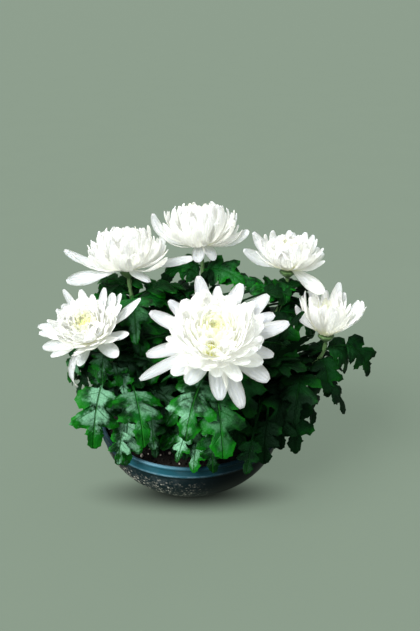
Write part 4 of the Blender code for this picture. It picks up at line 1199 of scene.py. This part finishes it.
def leaf_finish(settings):
    """Dark green leaves with bright tips and veins, paler undersides, and patches of waxy bloom and painted
    sheen, palest in front and on the left.

    Painted shade: inner leaves, and by the value shade those on the plant's right side below the top, are
    nearly black.
    """
    look = Look("leaf_green", Specular_IOR_Level=0.12, Specular_Tint=(0.50, 1.0, 0.66))
    lobe, over, _ = look.axes(look.uv)
    across = 2.0 * abs(over - 0.5)
    middle, side_vein = leaf_veins(look, lobe, across)
    veins = middle.most(0.7 * side_vein)
    cloudy, fine = look.noise(55.0), look.noise(600.0)
    net = look.cells(330.0, "DISTANCE_TO_EDGE").rise(0.0, 0.12)
    green = cloudy.rise(0.45, 0.62).mix(settings.dark_colour, settings.colour)
    outer = lobe.rise(0.40, 0.95).most(across.rise(0.50, 1.00))
    green = (0.85 * outer * cloudy.rise(0.36, 0.62)).mix(green, settings.tip_colour)
    green = (0.40 * veins).mix(green, settings.vein_colour)
    # Painted sheen: the patches are pale teal towards the front and left, where the light falls, and bright
    # green elsewhere
    bloom = look.kept("wax").mix((0.014, 0.100, 0.022), settings.bloom_and_sheen_colour)
    green = leaf_bloom_and_sheen(look, lobe, across, veins, net).mix(green, bloom)
    under = look.kept("under").rise(0.5, 0.75)
    green = (0.5 * under).mix(green, (0.020, 0.075, 0.020))
    # Painted shade: inner leaves and the right side darken to near-black, with a few lighter patches
    shade = look.kept("shade") * (0.95 - 0.35 * look.noise(30.0, 1.0).rise(0.52, 0.64))
    painted_shade = (0.85 * look.kept("inner")).most(shade)
    look.show("Base Color", painted_shade.mix(green, (0.0004, 0.0045, 0.0008)))
    look.show("Roughness", 0.30 + 0.20 * cloudy + 0.25 * painted_shade + 0.20 * under)
    relief = 0.10 * net + 0.06 * fine + look.noise(170.0, 2.0)
    look.bump(relief - middle.most(0.35 * side_vein), 0.0012, 0.9)
    return look.material


def stem_finish(settings):
    """Pale green stems with lengthwise streaks and a fine down."""
    look = Look("stem_green", Roughness=0.5, Sheen_Weight=0.1, Specular_IOR_Level=0.4)
    streaks = look.noise(1.0, at=look.stretched(look.uv, (22.0, 3.0, 1.0)))
    green = streaks.mix(settings.stem_colour, (0.16, 0.27, 0.09))
    look.show("Base Color", (0.5 * look.noise(160.0).rise(0.5, 0.8)).mix(green, (0.10, 0.16, 0.06)))
    look.bump(streaks, 0.0004, 0.6)
    return look.material


def bowl_dirt(look, side, height):
    """How much of the bowl is dried earth: dust and specks in cloudy patches, low on its left."""
    dust = 0.55 * look.noise(330.0, 5.0, 0.7).rise(0.52, 0.66)
    specks = look.cells(260.0).fall(0.20, 0.34)
    patch = look.noise(32.0, 4.0).rise(0.34, 0.54)
    return dust.most(specks) * height.fall(0.030, 0.055) * side.fall(-0.030, 0.024) * patch


def bowl_finish(settings):
    """Dark blue plastic with painted sheen on the collar, a painted highlight on the lip's left side, a worn
    line, painted shade at both sides, and dried earth.
    """
    look = Look("bowl_blue", Specular_IOR_Level=0.03)
    side, _, height = look.axes(look.where)
    seam = BOWL_HEIGHT - COLLAR_HEIGHT
    cloudy = look.noise(30.0, 4.0)
    # Painted sheen: the collar is a paler blue than the body
    blue = height.rise(seam - 0.0008, seam).mix(settings.colour, settings.collar_sheen_colour)
    blue = (0.35 * cloudy).mix(blue, (0.012, 0.020, 0.034))
    line = abs(height - (seam + 0.0012)).fall(0.0003, 0.0010)
    blue = (0.35 * line * look.noise(120.0).rise(0.3, 0.6)).mix(blue, (0.22, 0.33, 0.40))
    # Painted highlight along the top of the lip, on its left side
    lip = height.rise(BOWL_HEIGHT - 0.0016, BOWL_HEIGHT - 0.0006) * side.fall(-0.030, 0.010)
    blue = (0.7 * lip).mix(blue, (0.12, 0.26, 0.34))
    # Painted shade: the body darkens to near-black on the right and at the far left
    side_shade = side.rise(-0.030, 0.040).most(side.fall(-0.066, -0.052))
    blue = (0.85 * side_shade).mix(blue, (0.0015, 0.0015, 0.0020))
    film = 0.25 * look.noise(70.0, 5.0, 0.6).rise(0.45, 0.8) * side.fall(-0.030, 0.024)
    dirt = bowl_dirt(look, side, height)
    look.show("Base Color", dirt.mix(film.mix(blue, (0.13, 0.15, 0.16)), settings.dirt_colour))
    look.show("Roughness", 0.26 + 0.18 * cloudy + 0.4 * dirt)
    look.bump(0.15 * look.noise(900.0, 2.0) + dirt, 0.0002, 0.6)
    return look.material


def soil_finish(settings):
    """Dark crumbly potting soil with fibres and pale grains."""
    look = Look("soil_brown", Roughness=0.95, Specular_IOR_Level=0.2)
    coarse, fine = look.noise(240.0, 6.0, 0.7), look.noise(1400.0, 4.0, 0.7)
    earth = coarse.rise(0.35, 0.70).mix(settings.colour, (0.011, 0.009, 0.0065))
    earth = fine.rise(0.64, 0.80).mix(earth, (0.05, 0.042, 0.030))
    look.show("Base Color", look.kept("pale").mix(earth, settings.speck_colour))
    look.bump(coarse + 0.4 * fine, 0.0010)
    return look.material


def floor_finish(settings):
    """Plain matt sage floor with a barely seen mottle. It glows like a lit backdrop, with a shadow painted
    under the bowl into its glow and its colour.
    """
    look = Look("floor_sage", Roughness=0.9, Specular_IOR_Level=0.1, Emission_Strength=settings.glow)
    sage = look.noise(9.0).mix(settings.colour, [1.03 * value for value in settings.colour])
    from_shade = look.distance(look.stretched(look.where, *FLOOR_SHADE), (0.0, 0.0, 0.0)).rise(0.1, 1.0)
    lit = 0.96 * from_shade + 0.04
    # Painted shadow: the glow fades under the bowl
    look.show("Emission Color", lit.mix((0.0, 0.0, 0.0), sage))
    # Painted shadow: the colour darkens under the bowl
    look.show("Base Color", (0.75 * lit + 0.25).mix((0.0, 0.0, 0.0), sage))
    look.bump(look.noise(500.0, 2.0), 0.0001, 0.3)
    return look.material


# Settings


def length(name, default, about):
    """A setting in metres."""
    return bpy.props.FloatProperty(
        name=name, description=about, default=default, min=0.0, unit="LENGTH", precision=5)


def number(name, default, about):
    """A plain setting."""
    return bpy.props.FloatProperty(name=name, description=about, default=default)


def colour(name, default, about):
    """A setting for a colour."""
    return bpy.props.FloatVectorProperty(
        name=name, description=about, default=default, subtype="COLOR", size=3, min=0.0, max=1.0)


class BowlSettings(bpy.types.PropertyGroup):
    colour: colour("Body", (0.005, 0.016, 0.017), "Plastic below the collar")
    # Painted sheen: the collar's paler blue
    collar_sheen_colour: colour("Collar", (0.016, 0.098, 0.132), "Plastic of the upright collar")
    dirt_colour: colour("Earth", (0.85, 0.80, 0.70), "Dried splashes on the body")


class SoilSettings(bpy.types.PropertyGroup):
    colour: colour("Soil", (0.004, 0.0034, 0.0027), "Damp potting soil")
    speck_colour: colour("Grains", (0.42, 0.38, 0.32), "Pale grains in the soil")


class LeafSettings(bpy.types.PropertyGroup):
    thickness: length("Half thickness", 0.00028, "Half the thickness of a leaf blade")
    colour: colour("Light green", (0.003, 0.070, 0.008), "Lit parts of the leaves")
    dark_colour: colour("Dark green", (0.0004, 0.010, 0.001), "Dark parts of the leaves")
    tip_colour: colour("Tips", (0.005, 0.135, 0.002), "Tips of the lobes")
    vein_colour: colour("Veins", (0.012, 0.140, 0.008), "Midribs and side veins")
    # Waxy bloom and painted sheen on the leaves
    bloom_and_sheen_colour: colour("Bloom", (0.155, 0.350, 0.215), "Waxy bloom between the veins")
    stem_colour: colour("Stems", (0.045, 0.13, 0.040), "Bare stems")


class PetalSettings(bpy.types.PropertyGroup):
    thickness: length("Thickness", 0.0006, "Thickness of a petal along its middle")
    cup: number("Cup", 0.22, "How far a petal's edges rise, as a share of its half width")
    # Painted glow: how strongly the petals shine by themselves
    glow: number("Glow", 0.22, "Light that the petals pass on to each other, as a share of white")
    colour: colour("Petals", (0.94, 0.95, 0.925), "White of the petals")
    root_colour: colour("Roots", (0.84, 0.86, 0.46), "Cream at the petals' roots")
    heart_colour: colour("Hearts", (0.78, 0.72, 0.10), "Yellow of the unopened florets")


class StageSettings(bpy.types.PropertyGroup):
    colour: colour("Floor", (0.0425, 0.0547, 0.0422), "Pale sage floor")
    glow: number("Floor glow", 4.0, "How much the floor shines by itself, as a backdrop lit from behind does")
    key_power: number("Key light", 5.4, "Strength of the light from the upper left")
    top_power: number("Overhead light", 2.0, "Strength of the broad light from above")
    fill_power: number("Fill light", 0.16, "Strength of the light from all round")


# Operators


class CHRYSANTHEMUM_OT_bowl(bpy.types.Operator):
    """Turns the bowl and cuts its drain holes"""

    bl_idname = "chrysanthemum.bowl"
    bl_label = "Bowl"

    def execute(self, context):
        look = bowl_finish(context.scene.chrysanthemum_bowl)
        piece = new_piece("bowl_skin", [bowl_shape()], look, "bowl", "bowl")
        points, quads, fans = drain_shape()
        mesh = bpy.data.meshes.new("drains")
        mesh.from_pydata(points.tolist(), [], quads.tolist() + fans.tolist())
        drains = add_object("drains", mesh)
        cut = piece.modifiers.new("drain holes", "BOOLEAN")
        cut.operation, cut.solver, cut.object = "DIFFERENCE", "EXACT", drains
        context.view_layer.update()
        whole = bpy.data.meshes.new_from_object(piece.evaluated_get(context.evaluated_depsgraph_get()))
        piece.modifiers.clear()
        piece.data = whole
        bpy.data.objects.remove(drains, do_unlink=True)
        return {"FINISHED"}


class CHRYSANTHEMUM_OT_soil(bpy.types.Operator):
    """Makes the soil and the crumbs on it"""

    bl_idname = "chrysanthemum.soil"
    bl_label = "Soil"

    def execute(self, context):
        look = soil_finish(context.scene.chrysanthemum_soil)
        bed = soil_shape()
        new_piece("soil_bed", [bed], look, "soil", "soil", values={"pale": np.zeros(len(bed[0]))})
        crumbs, pale = crumb_shapes(np.random.default_rng(SEED + 5))
        new_piece("soil_crumbs", [crumbs], look, "soil", "soil", values={"pale": pale})
        return {"FINISHED"}


class CHRYSANTHEMUM_OT_stems(bpy.types.Operator):
    """Makes the six stems with the cups under their blooms"""

    bl_idname = "chrysanthemum.stems"
    bl_label = "Stems"

    def execute(self, context):
        look = stem_finish(context.scene.chrysanthemum_leaves)
        for index in range(len(BLOOMS)):
            shape, uv = stem_shape(index)
            new_piece(f"stem_{index + 1}", [shape], look, f"leafy_stem_{index + 1}", "leaf", uv)
        return {"FINISHED"}


class CHRYSANTHEMUM_OT_leaves(bpy.types.Operator):
    """Makes the leaves of each stem"""

    bl_idname = "chrysanthemum.leaves"
    bl_label = "Leaves"

    def execute(self, context):
        settings = context.scene.chrysanthemum_leaves
        look = leaf_finish(settings)
        for index, leaves in enumerate(fill_leaves(place_leaves())):
            shape, *rest = leaves_shape(leaves, settings.thickness, SEED + 30 + index)
            new_piece(f"leaves_{index + 1}", [shape], look, f"leafy_stem_{index + 1}", "leaf", *rest)
        return {"FINISHED"}


class CHRYSANTHEMUM_OT_blooms(bpy.types.Operator):
    """Makes the petals of each bloom"""

    bl_idname = "chrysanthemum.blooms"
    bl_label = "Blooms"

    def execute(self, context):
        settings = context.scene.chrysanthemum_petals
        look = petal_finish(settings)
        for index in range(len(BLOOMS)):
            shape, *rest = petals_shape(index, settings.thickness, settings.cup)
            new_piece(f"petals_{index + 1}", [shape], look, f"bloom_{index + 1}", "petal", *rest)
        return {"FINISHED"}


class CHRYSANTHEMUM_OT_hearts(bpy.types.Operator):
    """Makes the florets in the middle of each bloom"""

    bl_idname = "chrysanthemum.hearts"
    bl_label = "Hearts"

    def execute(self, context):
        look = heart_finish(context.scene.chrysanthemum_petals)
        for index in range(len(BLOOMS)):
            parts, uv = heart_shape(index)
            values = {"pale": np.full(len(uv), HEART_PALE[index])}
            new_piece(f"heart_{index + 1}", parts, look, f"bloom_{index + 1}_heart", "heart", uv, values)
        return {"FINISHED"}


def lay_floor(settings):
    """A wide flat floor."""
    mesh = bpy.data.meshes.new("floor")
    corners = [(x * FLOOR_REACH, y * FLOOR_REACH, 0) for x, y in ((-1, -1), (1, -1), (1, 1), (-1, 1))]
    mesh.from_pydata(corners, [], [(0, 1, 2, 3)])
    mesh.materials.append(floor_finish(settings))
    floor = add_object("floor", mesh)


def set_sun(name, power, spread, colour, direction):
    """A distant light: its strength, its spread in degrees, its colour and the way that it shines."""
    sun = bpy.data.lights.new(name, "SUN")
    sun.energy, sun.angle, sun.color = power, math.radians(spread), colour
    add_object(name, sun).rotation_euler = Vector(direction).to_track_quat("-Z", "Y").to_euler()


def set_world(scene, power):
    """Pale light from all round."""
    world = bpy.data.worlds.new("studio")
    world.use_nodes = True
    background = world.node_tree.nodes["Background"]
    background.inputs["Color"].default_value = (0.92, 0.97, 1.0, 1.0)
    background.inputs["Strength"].default_value = power
    scene.world = world


def set_camera(scene):
    """The camera at the photo's viewing angle."""
    lens = bpy.data.cameras.new("camera")
    lens.sensor_width = SENSOR
    lens.lens = SENSOR * FOCAL_PIXELS / IMAGE_PIXELS
    lens.clip_start, lens.clip_end = 0.02, 200.0
    camera = add_object("camera", lens)
    camera.location = CAMERA_PLACE
    camera.rotation_euler = (math.radians(90.0 - CAMERA_TILT), 0.0, 0.0)
    scene.camera = camera


class CHRYSANTHEMUM_OT_stage(bpy.types.Operator):
    """Lays the floor and sets the lights and the camera"""

    bl_idname = "chrysanthemum.stage"
    bl_label = "Stage"

    def execute(self, context):
        settings = context.scene.chrysanthemum_stage
        lay_floor(settings)
        set_sun("key", settings.key_power, 36, (1.0, 0.99, 0.97), (0.70, 0.55, -0.95))
        set_sun("overhead", settings.top_power, 120, (0.94, 0.98, 1.0), (0.10, 0.25, -1.0))
        set_world(context.scene, settings.fill_power)
        set_camera(context.scene)
        context.scene.view_settings.view_transform = "Standard"
        return {"FINISHED"}


OPERATORS = (
    CHRYSANTHEMUM_OT_bowl, CHRYSANTHEMUM_OT_soil, CHRYSANTHEMUM_OT_stems, CHRYSANTHEMUM_OT_leaves,
    CHRYSANTHEMUM_OT_blooms, CHRYSANTHEMUM_OT_hearts, CHRYSANTHEMUM_OT_stage,
)
SETTINGS = {
    "chrysanthemum_bowl": BowlSettings,
    "chrysanthemum_soil": SoilSettings,
    "chrysanthemum_leaves": LeafSettings,
    "chrysanthemum_petals": PetalSettings,
    "chrysanthemum_stage": StageSettings,
}


class CHRYSANTHEMUM_PT_panel(bpy.types.Panel):
    """Lists the pieces and their settings"""

    bl_label = "Pot chrysanthemum"
    bl_idname = "CHRYSANTHEMUM_PT_panel"
    bl_space_type = "VIEW_3D"
    bl_region_type = "UI"
    bl_category = "Chrysanthemum"

    def draw(self, context):
        for each in OPERATORS:
            self.layout.operator(each.bl_idname)
        for key, group in SETTINGS.items():
            box = self.layout.box()
            for name in group.__annotations__:
                box.prop(getattr(context.scene, key), name)


def register():
    for each in (*SETTINGS.values(), *OPERATORS, CHRYSANTHEMUM_PT_panel):
        bpy.utils.register_class(each)
    for key, group in SETTINGS.items():
        setattr(bpy.types.Scene, key, bpy.props.PointerProperty(type=group))


def unregister():
    for key in SETTINGS:
        delattr(bpy.types.Scene, key)
    for each in (CHRYSANTHEMUM_PT_panel, *reversed(OPERATORS), *reversed(SETTINGS.values())):
        bpy.utils.unregister_class(each)


def main():
    register()
    for each in (
        bpy.ops.chrysanthemum.bowl, bpy.ops.chrysanthemum.soil, bpy.ops.chrysanthemum.stems,
        bpy.ops.chrysanthemum.leaves, bpy.ops.chrysanthemum.blooms, bpy.ops.chrysanthemum.hearts,
        bpy.ops.chrysanthemum.stage,
    ):
        if each() != {"FINISHED"}:
            raise RuntimeError("a step didn't finish")


if __name__ == "__main__":
    main()
